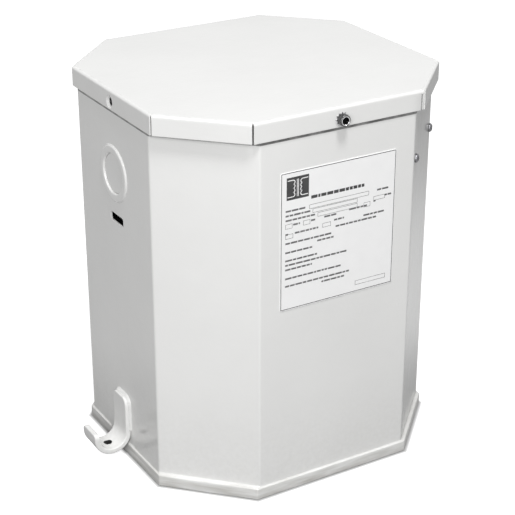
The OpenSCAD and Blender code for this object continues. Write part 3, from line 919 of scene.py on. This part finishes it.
# %% Pan head screws
CROWN_R = 4.8 * MM
CROWN_H = 3.8 * MM
CROWN_STEPS = 96
ARM_LENGTH, ARM_HALF_W, RECESS = 2.4 * MM, 0.55 * MM, 1.9 * MM
angle = np.arange(CROWN_STEPS) / CROWN_STEPS * 2 * math.pi
crown_r = CROWN_R * np.concatenate([np.linspace(0, 0.62, 16), [0.7, 0.78, 0.86, 0.93, 0.98]])[:, None]
crown_h = CROWN_H * (1 - (crown_r / CROWN_R) ** 4 * 0.55)
reach_x = np.abs(crown_r * np.cos(angle))
reach_y = np.abs(crown_r * np.sin(angle))
arm = np.minimum(np.maximum(reach_x / ARM_LENGTH, reach_y / ARM_HALF_W),
                 np.maximum(reach_y / ARM_LENGTH, reach_x / ARM_HALF_W))
recess = RECESS * np.clip((1.12 - arm) / 0.3, 0, 1) * (1 - crown_r / (0.9 * CROWN_R)).clip(0.1, 1)
crown = turned(crown_r, crown_h - recess, CROWN_STEPS)
head_rows = np.array([(1, 0.3), (1, 0.1), (0.985, 0.02), (0.96, 0), (0.52, 0), (0.5, -0.1)])
thread = [(2.4 - 0.3 * (k % 2), -0.4 - 0.55 * k) for k in range(16)]
shank_rows = np.array([*thread, (1.6, -9.6), (0, -10)]) * MM
side_rows = np.concatenate([head_rows * [CROWN_R, CROWN_H], shank_rows])
pan_head_grid = np.concatenate([crown, turned(side_rows[:, :1], side_rows[:, 1:], CROWN_STEPS)])
corner_middle = np.array([HALF_W - CORNER_LEG / 2, CORNER_LEG / 2 - HALF_D, WALL_SCREW_Z])
corner_out = np.array([1, -1, 0]) / math.sqrt(2)
corner_along = np.array([1, 1, 0]) / math.sqrt(2)
for name, sign, spin in (("front", -1, 0.4), ("side", 1, 1.1)):
    turn = [[math.cos(spin), math.sin(spin), 0], [-math.sin(spin), math.cos(spin), 0], [0, 0, 1]]
    place = on_wall(pan_head_grid @ turn, corner_middle + sign * SCREW_OFF * corner_along, corner_out)
    make_piece(f"wall_screw_{name}_pan_head", [patch(place, wrap=ROWS_CLOSE)], [f"wall_screw_{name}"],
               ZINC_PAINTED_DARK)

# %% [markdown]
# ## Hold-down hooks
#
# Each hook is a strip of 6 mm flat bar with its ends rounded off and one hole drilled, bent into a J
# and welded to the wall. It is drawn flat, in distance s along the bar and w across it, then rolled
# along the J. The edges of bar stock are never sharp, so the two faces stop short of the outline
# and a quarter round carries them over to the sides.

# %% Outline of the bar
BAR_HALF = 16 * MM
STRAP_TOP = 73 * MM
TIP = 6.5 * MM
END_R, TIP_R, EDGE_R = 8 * MM, 5 * MM, 1.2 * MM
bend_z = corners("hook_left")[0][2] + BEND_MID_R + BAR_T / 2
half_turn = math.pi * BEND_MID_R
hook_legs = [(STRAP_TOP - bend_z, 0), (half_turn, BEND_MID_R), (TIP, 0)]
hook_path = route((BAR_T / 2, STRAP_TOP), -math.pi / 2, hook_legs)
BAR_LENGTH = hook_path[1]
hole_s = STRAP_TOP - bend_z + half_turn / 2
ends = np.linspace(0, math.pi / 2, 9)
start_lines = END_R - (END_R - EDGE_R) * np.cos(ends)
tip_lines = BAR_LENGTH - TIP_R + (TIP_R - EDGE_R) * np.cos(ends[::-1])
HOLE_WINDOW = 7.4 * MM
hole_window = (hole_s - HOLE_WINDOW, hole_s + HOLE_WINDOW, 8)
between = grid_lines(END_R, BAR_LENGTH - TIP_R, [hole_window], pitch=2.5 * MM)
bar_s = np.concatenate([start_lines[:-1], between, tip_lines[1:]])
bar_share = np.linspace(-1, 1, 17)
print("bar length in mm:", round(BAR_LENGTH / MM, 1), "rows across:", len(bar_s))


# %% Faces, edges and hole of the bar
def bar_half_width(s):
    """Half width of a face at distance s: full along the middle, and following a quarter circle about
    the rounding's centre at both ends."""
    near_start = np.clip((END_R - s) / (END_R - EDGE_R), 0, 1)
    near_tip = np.clip((s - BAR_LENGTH + TIP_R) / (TIP_R - EDGE_R), 0, 1)
    at_start = BAR_HALF - END_R + (END_R - EDGE_R) * np.sqrt(1 - near_start ** 2)
    at_tip = BAR_HALF - TIP_R + (TIP_R - EDGE_R) * np.sqrt(1 - near_tip ** 2)
    return np.where(s < BAR_LENGTH / 2, at_start, at_tip)


def bar_outward(points):
    """Outward direction of the outline: away from the nearest point of the rectangle that joins the
    centres of the roundings."""
    s, w = points[:, 0], points[:, 1]
    core = np.where(s < BAR_LENGTH / 2, BAR_HALF - END_R, BAR_HALF - TIP_R)
    near = np.stack([np.clip(s, END_R, BAR_LENGTH - TIP_R), np.clip(w, -core, core)], -1)
    away = points - near
    return away / np.linalg.norm(away, axis=1, keepdims=True)


def quarter_round(inset, half_thick):
    """Rows of (how far out, height) that go over a rounded edge from the top face to the bottom."""
    turn = np.linspace(0, math.pi / 2, 6)
    over = np.stack([inset * np.sin(turn), half_thick - inset + inset * np.cos(turn)], -1)
    return np.concatenate([over, over[::-1] * [1, -1]])


def edge_rows(points, outward, rows):
    """A profile of (out, height) rows carried round a closed outline."""
    flat = points[None] + rows[:, None, :1] * outward[None]
    return np.concatenate([flat, np.broadcast_to(rows[:, None, 1:], (*flat.shape[:2], 1))], -1)


HOLE_EDGE_R = 0.7 * MM


def bar_face(height):
    """One face of the bar with its hole, as patches of (s, w, height)."""
    full = BAR_HALF - EDGE_R
    window = (hole_s - HOLE_WINDOW, hole_s + HOLE_WINDOW, -full / 2, full / 2)
    hole = (window, round_hole((hole_s, 0), HOOK_HOLE_R), [(HOLE_EDGE_R, 0)])
    parts = punched(bar_s, bar_share * full, [hole])
    made = []
    for grid, keep, wrap in parts:
        s, w = grid[..., 0], grid[..., 1]
        across = w * bar_half_width(s) / full
        made.append(patch(np.stack([s, across, np.full_like(s, height)], -1), keep, wrap))
    return made


bar_outline = window_edge(bar_s, bar_share, (0, BAR_LENGTH, -1, 1))
bar_outline = bar_outline * np.stack([np.ones(len(bar_outline)), bar_half_width(bar_outline[:, 0])], -1)
hole_rim = bar_face(0)[1][0][-1][:, :2]
hole_inward = np.array([hole_s, 0]) - hole_rim
hole_inward = hole_inward / np.linalg.norm(hole_inward, axis=1, keepdims=True)
bar_flat = bar_face(BAR_T / 2) + bar_face(-BAR_T / 2)
outer_edge = (bar_outline, bar_outward(bar_outline), EDGE_R)
hole_edge = (hole_rim, hole_inward, HOLE_EDGE_R)
for outline, away, radius in (outer_edge, hole_edge):
    bar_flat.append(patch(edge_rows(outline, away, quarter_round(radius, BAR_T / 2)), wrap=ROWS_CLOSE))
print("patches of one bar:", len(bar_flat))

# %% [markdown]
# ### The hook's weld
#
# A fillet weld runs up both sides of the bar and over its end. Its section is a triangle with a
# slightly full face. It is carried along the bar's outline, its size rises and falls a little with
# each dab of the welder's torch, and it fades out at both ends.

# %% Weld bead
WELD_LEG = 3 * MM
DAB = 2.3 * MM
weld_straight, weld_corner = (STRAP_TOP - END_R - bend_z, 0), (END_R * math.pi / 2, END_R)
weld_path = route((BAR_HALF, bend_z), math.pi / 2, [
    weld_straight, weld_corner, (2 * (BAR_HALF - END_R), 0), weld_corner, weld_straight])
bead_s = np.linspace(0, weld_path[1], 150)
bead_turn = np.linspace(0, math.pi / 2, 8)
bead_full = np.stack([np.cos(bead_turn), np.sin(bead_turn)], -1)
bead_chord = np.stack([1 - bead_turn / bead_turn[-1], bead_turn / bead_turn[-1]], -1)
bead_section = np.concatenate([[[-0.5, 0]], 0.6 * bead_chord + 0.4 * bead_full, [[-0.5, 1]]]) * WELD_LEG
fade = np.clip(np.minimum(bead_s, weld_path[1] - bead_s) / WELD_LEG, 0, 1)
bead_size = np.sqrt(fade * (2 - fade)) * (0.95 + 0.05 * np.sin(bead_s / DAB * 2 * math.pi))
bead_place, bead_left = along(weld_path, bead_s)
bead_flat = bead_place[None] - bead_left[None] * (bead_section[:, None, :1] * bead_size[None, :, None])
bead_out = bead_section[:, None, 1] * bead_size[None]
bead_local = np.stack([bead_flat[..., 0], bead_flat[..., 1], bead_out], -1)
print("weld length in mm:", round(weld_path[1] / MM, 1))


# %% Roll the hooks and place them
def roll_bar(flat):
    """Carries (s, w, height) to (across, up, out): s runs down the J, and height points away from the
    middle of the bend, so the back face of the bar lies on the wall."""
    place, left = along(hook_path, flat[..., 0])
    place = place - left * flat[..., 2:]
    return np.stack([flat[..., 1], place[..., 1], place[..., 0]], -1)


for name in ("left", "right"):
    outward = SIDES[name]
    foot = np.array(outward) * HALF_W
    parts = [patch(on_wall(roll_bar(grid), foot, outward), keep, wrap) for grid, keep, wrap in bar_flat]
    parts.append(patch(on_wall(bead_local, foot, outward), wrap=COLUMNS_CLOSE))
    make_piece(f"hook_{name}_bar", parts, [f"hook_{name}"], COAT_HANDLED)

# %% [markdown]
# ## Base pan and sealing weld
#
# The pan under the unit has a low rim. The joint between rim and wall is closed by a continuous
# weld, ground nearly level with the rim and run up the wall as a small fillet. Both follow the
# eight sides, so one outline is computed with a fixed number of points on every side and every
# corner. Loops of it match point for point, and a profile is carried round simply by moving each
# loop in or up.


# %% Outlines of eight sides
def eight_sides(half_w, half_d, leg, radius, side_steps=18, corner_steps=5):
    """Points and outward directions round an outline with rounded corners: along each side they are
    spaced evenly, and round each corner they turn evenly about the rounding's centre."""
    centres = octagon(half_w - radius, half_d - radius, moved_in(leg, radius))
    first = np.radians(45 * np.arange(8) - 90)[:, None]
    turn = first + np.linspace(0, math.pi / 4, corner_steps)
    corner_dir = np.stack([np.cos(turn), np.sin(turn)], -1)
    corner = np.roll(centres, -1, 0)[:, None] + radius * corner_dir
    start = centres + radius * np.stack([np.cos(first[:, 0]), np.sin(first[:, 0])], -1)
    stop = corner[:, 0]
    share = np.linspace(0, 1, side_steps + 1)[:-1, None]
    side = start[:, None] + (stop - start)[:, None] * share
    side_dir = np.broadcast_to(corner_dir[:, :1], side.shape)
    loop = np.concatenate([side, corner[:, :-1]], 1).reshape(-1, 2)
    return loop, np.concatenate([side_dir, corner_dir[:, :-1]], 1).reshape(-1, 2)


pan_loop, pan_dir = eight_sides(PAN_HIGH[0], PAN_HIGH[1], PAN_LEG, 3 * MM)
wall_loop, wall_dir = eight_sides(HALF_W, HALF_D, CORNER_LEG, WALL_BEND_R)
print("points round the pan:", len(pan_loop))

# %% Pan
RIM_TOP = PAN_HIGH[2]
FLOOR_T = 3 * MM
rim_line = rounded([(2.5 * MM, 0), (0, 0), (0, RIM_TOP), (RIM_T, RIM_TOP), (RIM_T, FLOOR_T)],
                   [1.0 * MM, 1.4 * MM, 0.4 * MM], 5)
pan_rows = [at_height(pan_loop - inset * pan_dir, z) for inset, z in rim_line]
inwards = (0.97, 0.9, 0.6, 0.3, 0)
under = [pan_rows[0] * [s, s, 1] for s in inwards[::-1]]
inside = [pan_rows[-1] * [s, s, 1] for s in inwards]
pan_grid = np.stack(under + pan_rows + inside)
make_piece("base_pan_sheet", [patch(pan_grid, wrap=ROWS_CLOSE)], ["base_pan"], COAT_BASE)

# %% Sealing weld
weld_low, weld_high = (corner[2] for corner in corners("base_seal_weld"))
low_loop = pan_loop - 1.2 * MM * pan_dir
high_loop = wall_loop + 0.1 * MM * wall_dir
back_loop = wall_loop + 0.03 * MM * wall_dir
fill_rows = []
for share in (0, 0.2, 0.4, 0.6, 0.75, 0.87, 0.95, 1):
    height = weld_low + 0.05 * MM + (weld_high - weld_low - 0.1 * MM) * share ** 3
    fill_rows.append(at_height(low_loop + (high_loop - low_loop) * share, height))
fill_rows += [at_height(back_loop, weld_high - 0.3 * MM), at_height(back_loop, weld_low - 0.6 * MM),
              at_height(low_loop, weld_low - 0.6 * MM)]
make_piece("base_seal_weld_bead", [patch(np.stack(fill_rows), wrap=BOTH_CLOSE)], ["base_seal_weld"],
           COAT_BASE)

# %% [markdown]
# ## Data plate
#
# A printed film label is stuck on the front. What is printed here is only generic: a thin border,
# empty boxes, plain bars where a form has its words, and the drawing symbol of a transformer, two
# coils with a core between them. The print is real geometry a few hundredths of a millimetre
# thick, so it stays sharp from close by and needs no picture file.

# %% Label film
plate_low, plate_high = corners("data_plate")
PLATE_HALF_W = (plate_high[0] - plate_low[0]) / 2
PLATE_HALF_H = (plate_high[2] - plate_low[2]) / 2
plate_middle = (plate_low + plate_high) / 2
PLATE_T = plate_high[1] - plate_low[1]


def round_cornered(half_w, half_h, radius, steps=6):
    """Loop round a rectangle with rounded corners, each corner turning evenly about its centre."""
    turn = np.radians(90 * np.arange(4))[:, None] + np.linspace(0, math.pi / 2, steps)
    centre = np.array([[1, 1], [-1, 1], [-1, -1], [1, -1]]) * [half_w - radius, half_h - radius]
    return (centre[:, None] + radius * np.stack([np.cos(turn), np.sin(turn)], -1)).reshape(-1, 2)


outer_loop = round_cornered(PLATE_HALF_W, PLATE_HALF_H, 2 * MM)
film_rows = [(1, 0), (0.5, 0), (0, 0), (0, 0.35 * MM), (0.0004, 0.46 * MM)]
film_rows += [(inset, PLATE_T) for inset in (0.001, 0.004, 0.01, 0.5, 1)]
film_grid = np.stack([at_height(outer_loop * (1 - inset), out) for inset, out in film_rows])
plate_origin = np.array([plate_middle[0], plate_high[1], plate_middle[2]])
film_grid = on_wall(film_grid, plate_origin, SIDES["front"])
make_piece("data_plate_film", [patch(film_grid, wrap=ROWS_CLOSE)], ["data_plate"], LABEL)
print("label in mm:", 2 * PLATE_HALF_W / MM, 2 * PLATE_HALF_H / MM)

# %% [markdown]
# ### The print
#
# Bars are listed as left, bottom, width and height in millimetres from the label's lower left
# corner. A line of a form is filled with short bars of seeded random length. All bars go into one
# array, and each becomes a low box with a front, four sides and a back. Arcs for the coils are
# bands of angle by radius with the same low section.


# %% Bars and bands of ink
def boxes(bars, low, high):
    """Patches for bars (left, bottom, width, height): each is a loop of section rows from the back to
    the front, joined up at both ends."""
    bars = np.asarray(bars, float) * MM
    left, bottom = bars[:, 0] - PLATE_HALF_W, bars[:, 1] - PLATE_HALF_H
    right, top = left + bars[:, 2], bottom + bars[:, 3]
    loop = np.stack([left, bottom, right, bottom, right, top, left, top], -1).reshape(-1, 1, 4, 2)
    centre = np.broadcast_to(loop.mean(2, keepdims=True), loop.shape)
    flat = np.concatenate([centre, loop, loop, centre], 1)
    out = np.broadcast_to(np.array([low, low, high, high])[:, None, None], (len(bars), 4, 4, 1))
    return [patch(grid, wrap=ROWS_CLOSE) for grid in np.concatenate([flat, out], -1)]


def band(centre, radius, width, first, last, low, high, steps=14):
    """A bowed bar: angle runs along it, and its section is a rectangle of width by thickness. Both
    ends close on the middle of the section."""
    turn = np.linspace(first, last, steps)
    ray = np.stack([np.cos(turn), np.sin(turn)], -1)
    middle_point = np.array(centre) * MM - [PLATE_HALF_W, PLATE_HALF_H]
    grid = np.stack([at_height(middle_point + ray * (radius + side * width / 2) * MM, out)
                     for side, out in ((-1, low), (-1, high), (1, high), (1, low))])
    ends = np.broadcast_to(grid.mean(0), grid.shape)
    return patch(np.concatenate([ends[:, :1], grid, ends[:, -1:]], 1), wrap=COLUMNS_CLOSE)


def frame_bars(left, bottom, width, height, line=0.35):
    """Four thin bars round an empty box."""
    return [(left, bottom, width, line), (left, bottom + height - line, width, line),
            (left, bottom + line, line, height - 2 * line),
            (left + width - line, bottom + line, line, height - 2 * line)]


chance = np.random.default_rng(7)
WORD_GAP = 0.9
SHORTEST, SHORT_WORD, LONG_WORD = 1.5, 2.5, 8.5


def word_bars(left, bottom, length, height=1.9):
    """Bars of random length between gaps, until the line is full."""
    made, here = [], left
    while here < left + length - SHORTEST:
        width = min(chance.uniform(SHORT_WORD, LONG_WORD), left + length - here)
        made.append((here, bottom, width, height))
        here += width + WORD_GAP
    return made


print("points of one bar, rows by columns:", boxes([(0, 0, 10, 2)], 0, MM)[0][0].shape[:2])


# %% Lay out the form
INK_LOW, INK_HIGH = PLATE_T - 0.02 * MM, PLATE_T + 0.04 * MM
BORDER_IN, BORDER_LINE = 0.8, 0.7
border_w, border_h = (2 * half / MM - 2 * BORDER_IN for half in (PLATE_HALF_W, PLATE_HALF_H))
dark = frame_bars(BORDER_IN, BORDER_IN, border_w, border_h, BORDER_LINE)
for box in [
        (34, 106.8, 72, 4.6), (38, 101.8, 54, 4.4), (44, 96.4, 48, 4.4), (6, 90.5, 8, 5), (27, 90.5, 8, 5),
        (100, 94.5, 8, 5), (112, 99.5, 14, 4.4), (6, 79.5, 9, 5), (50, 83, 10, 4.6), (92, 8, 38, 5)]:
    dark += frame_bars(*box)
grey = []
for left, up, length in [
        (6, 108.5, 24), (6, 103.5, 29), (6, 98.5, 36), (15, 93.0, 8), (36, 93.0, 5), (52, 93.5, 16),
        (82, 95.0, 22), (112, 98.0, 5), (126, 102.0, 8), (116, 109.5, 14), (6, 83.5, 3), (17, 83.5, 28),
        (64, 87.5, 12), (100, 84.5, 26), (6, 73.5, 56), (66, 80.0, 50), (6, 63.5, 34), (44, 69.0, 20),
        (6, 54.5, 38), (6, 49.5, 76), (6, 44.5, 32), (6, 34.5, 68), (6, 26.0, 78), (50, 21.5, 28)]:
    grey += word_bars(left, up, length)
title = word_bars(36, 117.5, 64, 3.4)
print("bars on the label:", len(dark), len(grey), len(title))

# %% Transformer symbol
# Two rows of four half loops face each other across two straight core lines, in a plain square panel.
SYMBOL_LEFT, SYMBOL_LOW, SYMBOL_W, SYMBOL_H = 7, 121, 26, 24
LOOP_R, COIL_OFF, WIRE = 2.2, 5.6, 0.9
LINE_LOW, LINE_HIGH = INK_HIGH - 0.02 * MM, INK_HIGH + 0.04 * MM
across_mid, up_mid = SYMBOL_LEFT + SYMBOL_W / 2, SYMBOL_LOW + SYMBOL_H / 2
panel_bars = [(SYMBOL_LEFT, SYMBOL_LOW, SYMBOL_W, SYMBOL_H)]
coil = []
for k in range(4):
    mid_up = up_mid + (k - 1.5) * 2 * LOOP_R
    for side, first in ((-1, -math.pi / 2), (1, math.pi / 2)):
        middle_point = (across_mid + side * COIL_OFF, mid_up)
        coil.append(band(middle_point, LOOP_R, WIRE, first, first + math.pi, LINE_LOW, LINE_HIGH))
core_lines = [(across_mid + left, SYMBOL_LOW + 2.8, 0.7, SYMBOL_H - 5.6) for left in (-1.1, 0.4)]
leads = [(across_mid + s * 8.8 - 3.2, up_mid + t * 4 * LOOP_R - WIRE / 2, 6.4, WIRE)
         for s in (-1, 1) for t in (-1, 1)]


def print_on_label(name, patches, finish):
    """Places flat print on the label and finishes it as a piece."""
    placed = [patch(on_wall(grid, plate_origin, SIDES["front"]), keep, wrap) for grid, keep, wrap in patches]
    return make_piece(name, placed, [], finish)


print_on_label("data_plate_lines", boxes(dark + title + panel_bars, INK_LOW, INK_HIGH), INK)
print_on_label("data_plate_bars", boxes(grey, INK_LOW, INK_HIGH), INK_GREY)
print_on_label("data_plate_symbol", coil + boxes(core_lines + leads, LINE_LOW, LINE_HIGH), LABEL)

# %% [markdown]
# ## CAD nodes that stay
#
# The threaded plates behind the fixings and the cast block in the bottom are already the right
# shape and can hardly be seen. They keep their CAD meshes and get a real finish.

# %% Finish the remaining CAD nodes
for name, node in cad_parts.items():
    if node.hide_render:
        continue
    finish = RESIN if name == "core_block" else ZINC_SHEET
    for place in node.material_slots:
        place.material = finish
    print("kept CAD node:", name, finish.name)

# %% [markdown]
# ## Floor, light and camera
#
# The unit stands on a white sweep under soft studio light. The camera and the gloss see a white
# surround, and everything else is lit by a weaker grey one, so that the lamps shape the faces: a
# small lamp high in front, which draws the short shadows under the screws and the skirt, and a
# broad low one at the front left for the walls. The sweep glows to stay white, but its glow fades
# out in a band along the pan's outline: that band is painted shade round the base, whatever the
# lamps do. The gloss sees that painted shade reach further, and sees the far right of the sweep
# painted grey: a painted reflection that makes the walls look polished.

# %% Short names for the studio's wiring
def empty_tree(owner):
    """The node tree of a world or a material, emptied."""
    owner.use_nodes = True
    owner.node_tree.nodes.clear()
    return owner.node_tree


def linked(tree, kind, *inputs, **settings):
    """A node's first output. Its inputs are outputs to link or plain values to write, in order."""
    node = tree.nodes.new(kind)
    for setting, value in settings.items():
        setattr(node, setting, value)
    for socket, value in zip(node.inputs, inputs):
        if isinstance(value, bpy.types.NodeSocket):
            tree.links.new(value, socket)
        else:
            socket.default_value = value
    return node.outputs[0]


def number(tree, operation, *values):
    """A sum such as ADD or MAXIMUM on numbers."""
    return linked(tree, "ShaderNodeMath", *values, operation=operation)


def end_tree(tree, rays, plain, white, kind):
    """Ends a tree: the camera, the gloss and clear materials see white, and all else is lit by plain."""
    seen = number(tree, "MAXIMUM", rays.outputs["Is Camera Ray"], rays.outputs["Is Glossy Ray"])
    seen = number(tree, "MAXIMUM", seen, rays.outputs["Is Transmission Ray"])
    either = linked(tree, "ShaderNodeMixShader", seen, plain, white)
    tree.links.new(either, tree.nodes.new(kind).inputs["Surface"])


# %% World
FILL = 0.29
world = bpy.data.worlds.new("white studio")
bpy.context.scene.world = world
tree = empty_tree(world)
fill, white = (linked(tree, "ShaderNodeBackground", (1, 1, 1, 1), strength) for strength in (FILL, 1.0))
end_tree(tree, tree.nodes.new("ShaderNodeLightPath"), fill, white, "ShaderNodeOutputWorld")
print("world nodes:", len(tree.nodes), "fill:", FILL)

# %% Floor
FLOOR = 6.0
floor_mesh = bpy.data.meshes.new("floor")
floor_corners = [(-FLOOR, -FLOOR, 0), (FLOOR, -FLOOR, 0), (FLOOR, FLOOR, 0), (-FLOOR, FLOOR, 0)]
floor_mesh.from_pydata(floor_corners, [], [(0, 1, 2, 3)])
floor = bpy.data.objects.new("floor", floor_mesh)
bpy.context.scene.collection.objects.link(floor)
floor.location.z = -0.2 * MM
paper = bpy.data.materials.new("studio_paper")
floor_mesh.materials.append(paper)
print("floor side in m:", 2 * FLOOR)

# %% [markdown]
# The painted shade on the sweep follows the eight sides of the pan. How far a point of the floor
# lies outside them is the largest of three numbers: how far it is past the side walls, past the front
# and the back, and past the corner walls, whose line is where x plus y is the same all along.

# %% Paper of the sweep
PAINTED_SHADE_REACH, PAINTED_SHADE_REACH_MIRRORED = 0.006, 0.19
GLOW, DIM_NEAR, DIM_FAR = 0.86, -0.41, -0.71
tree = empty_tree(paper)
rays = tree.nodes.new("ShaderNodeLightPath")
mirrored = rays.outputs["Is Glossy Ray"]
place = tree.nodes.new("ShaderNodeTexCoord").outputs["Object"]
split = tree.nodes.new("ShaderNodeSeparateXYZ")
tree.links.new(place, split.inputs[0])
far_x, far_y = (number(tree, "ABSOLUTE", split.outputs[axis]) for axis in "XY")
corner_line = PAN_HIGH[0] + PAN_HIGH[1] - PAN_LEG
past_line = number(tree, "SUBTRACT", number(tree, "ADD", far_x, far_y), corner_line)
over_corner = number(tree, "MULTIPLY", past_line, math.sqrt(0.5))
over_x = number(tree, "SUBTRACT", far_x, PAN_HIGH[0])
over_y = number(tree, "SUBTRACT", far_y, PAN_HIGH[1])
away = number(tree, "MAXIMUM", number(tree, "MAXIMUM", over_x, over_y), over_corner)
reach = number(tree, "MULTIPLY_ADD", mirrored, PAINTED_SHADE_REACH_MIRRORED, PAINTED_SHADE_REACH)
smooth = {"interpolation_type": "SMOOTHSTEP"}
# Painted shade: the glow fades out near the pan's outline, wider for the gloss.
shade = linked(tree, "ShaderNodeMapRange", away, 0.0, reach, 0.0, 1.0, **smooth)
# Painted reflection: for the gloss the glow is turned down towards the far right, so the walls reflect grey.
painted_reflection_dimmer = linked(tree, "ShaderNodeMapRange", split.outputs["X"], 0.5, 0.9, DIM_NEAR, DIM_FAR, **smooth)
strength = number(tree, "MULTIPLY", shade, number(tree, "MULTIPLY_ADD", mirrored, painted_reflection_dimmer, GLOW))
dull = linked(tree, "ShaderNodeBsdfDiffuse", (0.15, 0.15, 0.15, 1))
bright = linked(tree, "ShaderNodeBsdfDiffuse", (0.5, 0.5, 0.5, 1))
glow = linked(tree, "ShaderNodeEmission", (1, 1, 1, 1), strength)
end_tree(tree, rays, dull, linked(tree, "ShaderNodeAddShader", bright, glow), "ShaderNodeOutputMaterial")
print("paper nodes:", len(tree.nodes))


# %% Lamps
def toward(azimuth, elevation):
    """Unit vector from the object towards a viewer: azimuth 0 is in front, 90 to the right."""
    a, e = math.radians(azimuth), math.radians(elevation)
    return np.array([math.sin(a) * math.cos(e), -math.cos(a) * math.cos(e), math.sin(e)])


def soft_lamp(name, azimuth, elevation, distance, size, level):
    """A square lamp aimed at the middle of the object. Its power gives a white surface that faces it
    the given share of full white: level times pi squared times distance squared."""
    lamp = bpy.data.lights.new(name, "AREA")
    lamp.shape = "SQUARE"
    lamp.size = size
    lamp.energy = level * math.pi ** 2 * distance ** 2
    lamp_object = bpy.data.objects.new(name, lamp)
    bpy.context.scene.collection.objects.link(lamp_object)
    aim = np.array([0, 0, 0.2])
    lamp_object.location = aim + distance * toward(azimuth, elevation)
    lamp_object.rotation_euler = (math.radians(90 - elevation), 0, math.radians(azimuth))


soft_lamp("above_front", -12, 67, 3.0, 0.6, 0.55)
soft_lamp("front_left", -36, 24, 2.4, 1.5, 0.62)

# %% [markdown]
# The camera is a long lens, a little above the lid and to the left of the front, so that the left
# wall with its knockout, slot and hook is seen as well as the label.

# %% Camera
camera = bpy.data.cameras.new("camera")
camera.lens = 102.735
camera.sensor_width = 36
camera_object = bpy.data.objects.new("camera", camera)
bpy.context.scene.collection.objects.link(camera_object)
CAMERA_TURN, CAMERA_TILT, CAMERA_DISTANCE = -30.714, 24.821, 1.65916
aim_point = np.array([-0.00207, -0.00563, 0.20075])
camera_object.location = aim_point + CAMERA_DISTANCE * toward(CAMERA_TURN, CAMERA_TILT)
camera_object.rotation_euler = (math.radians(90 - CAMERA_TILT), 0, math.radians(CAMERA_TURN))
scene = bpy.context.scene
scene.camera = camera_object
scene.view_settings.view_transform = "Standard"
print("camera at", [round(c, 4) for c in camera_object.location])

# %% [markdown]
# ## Finish
#
# The view layer is brought up to date. The visual model must be no bigger than the CAD model.

# %% Finish
bpy.context.view_layer.update()
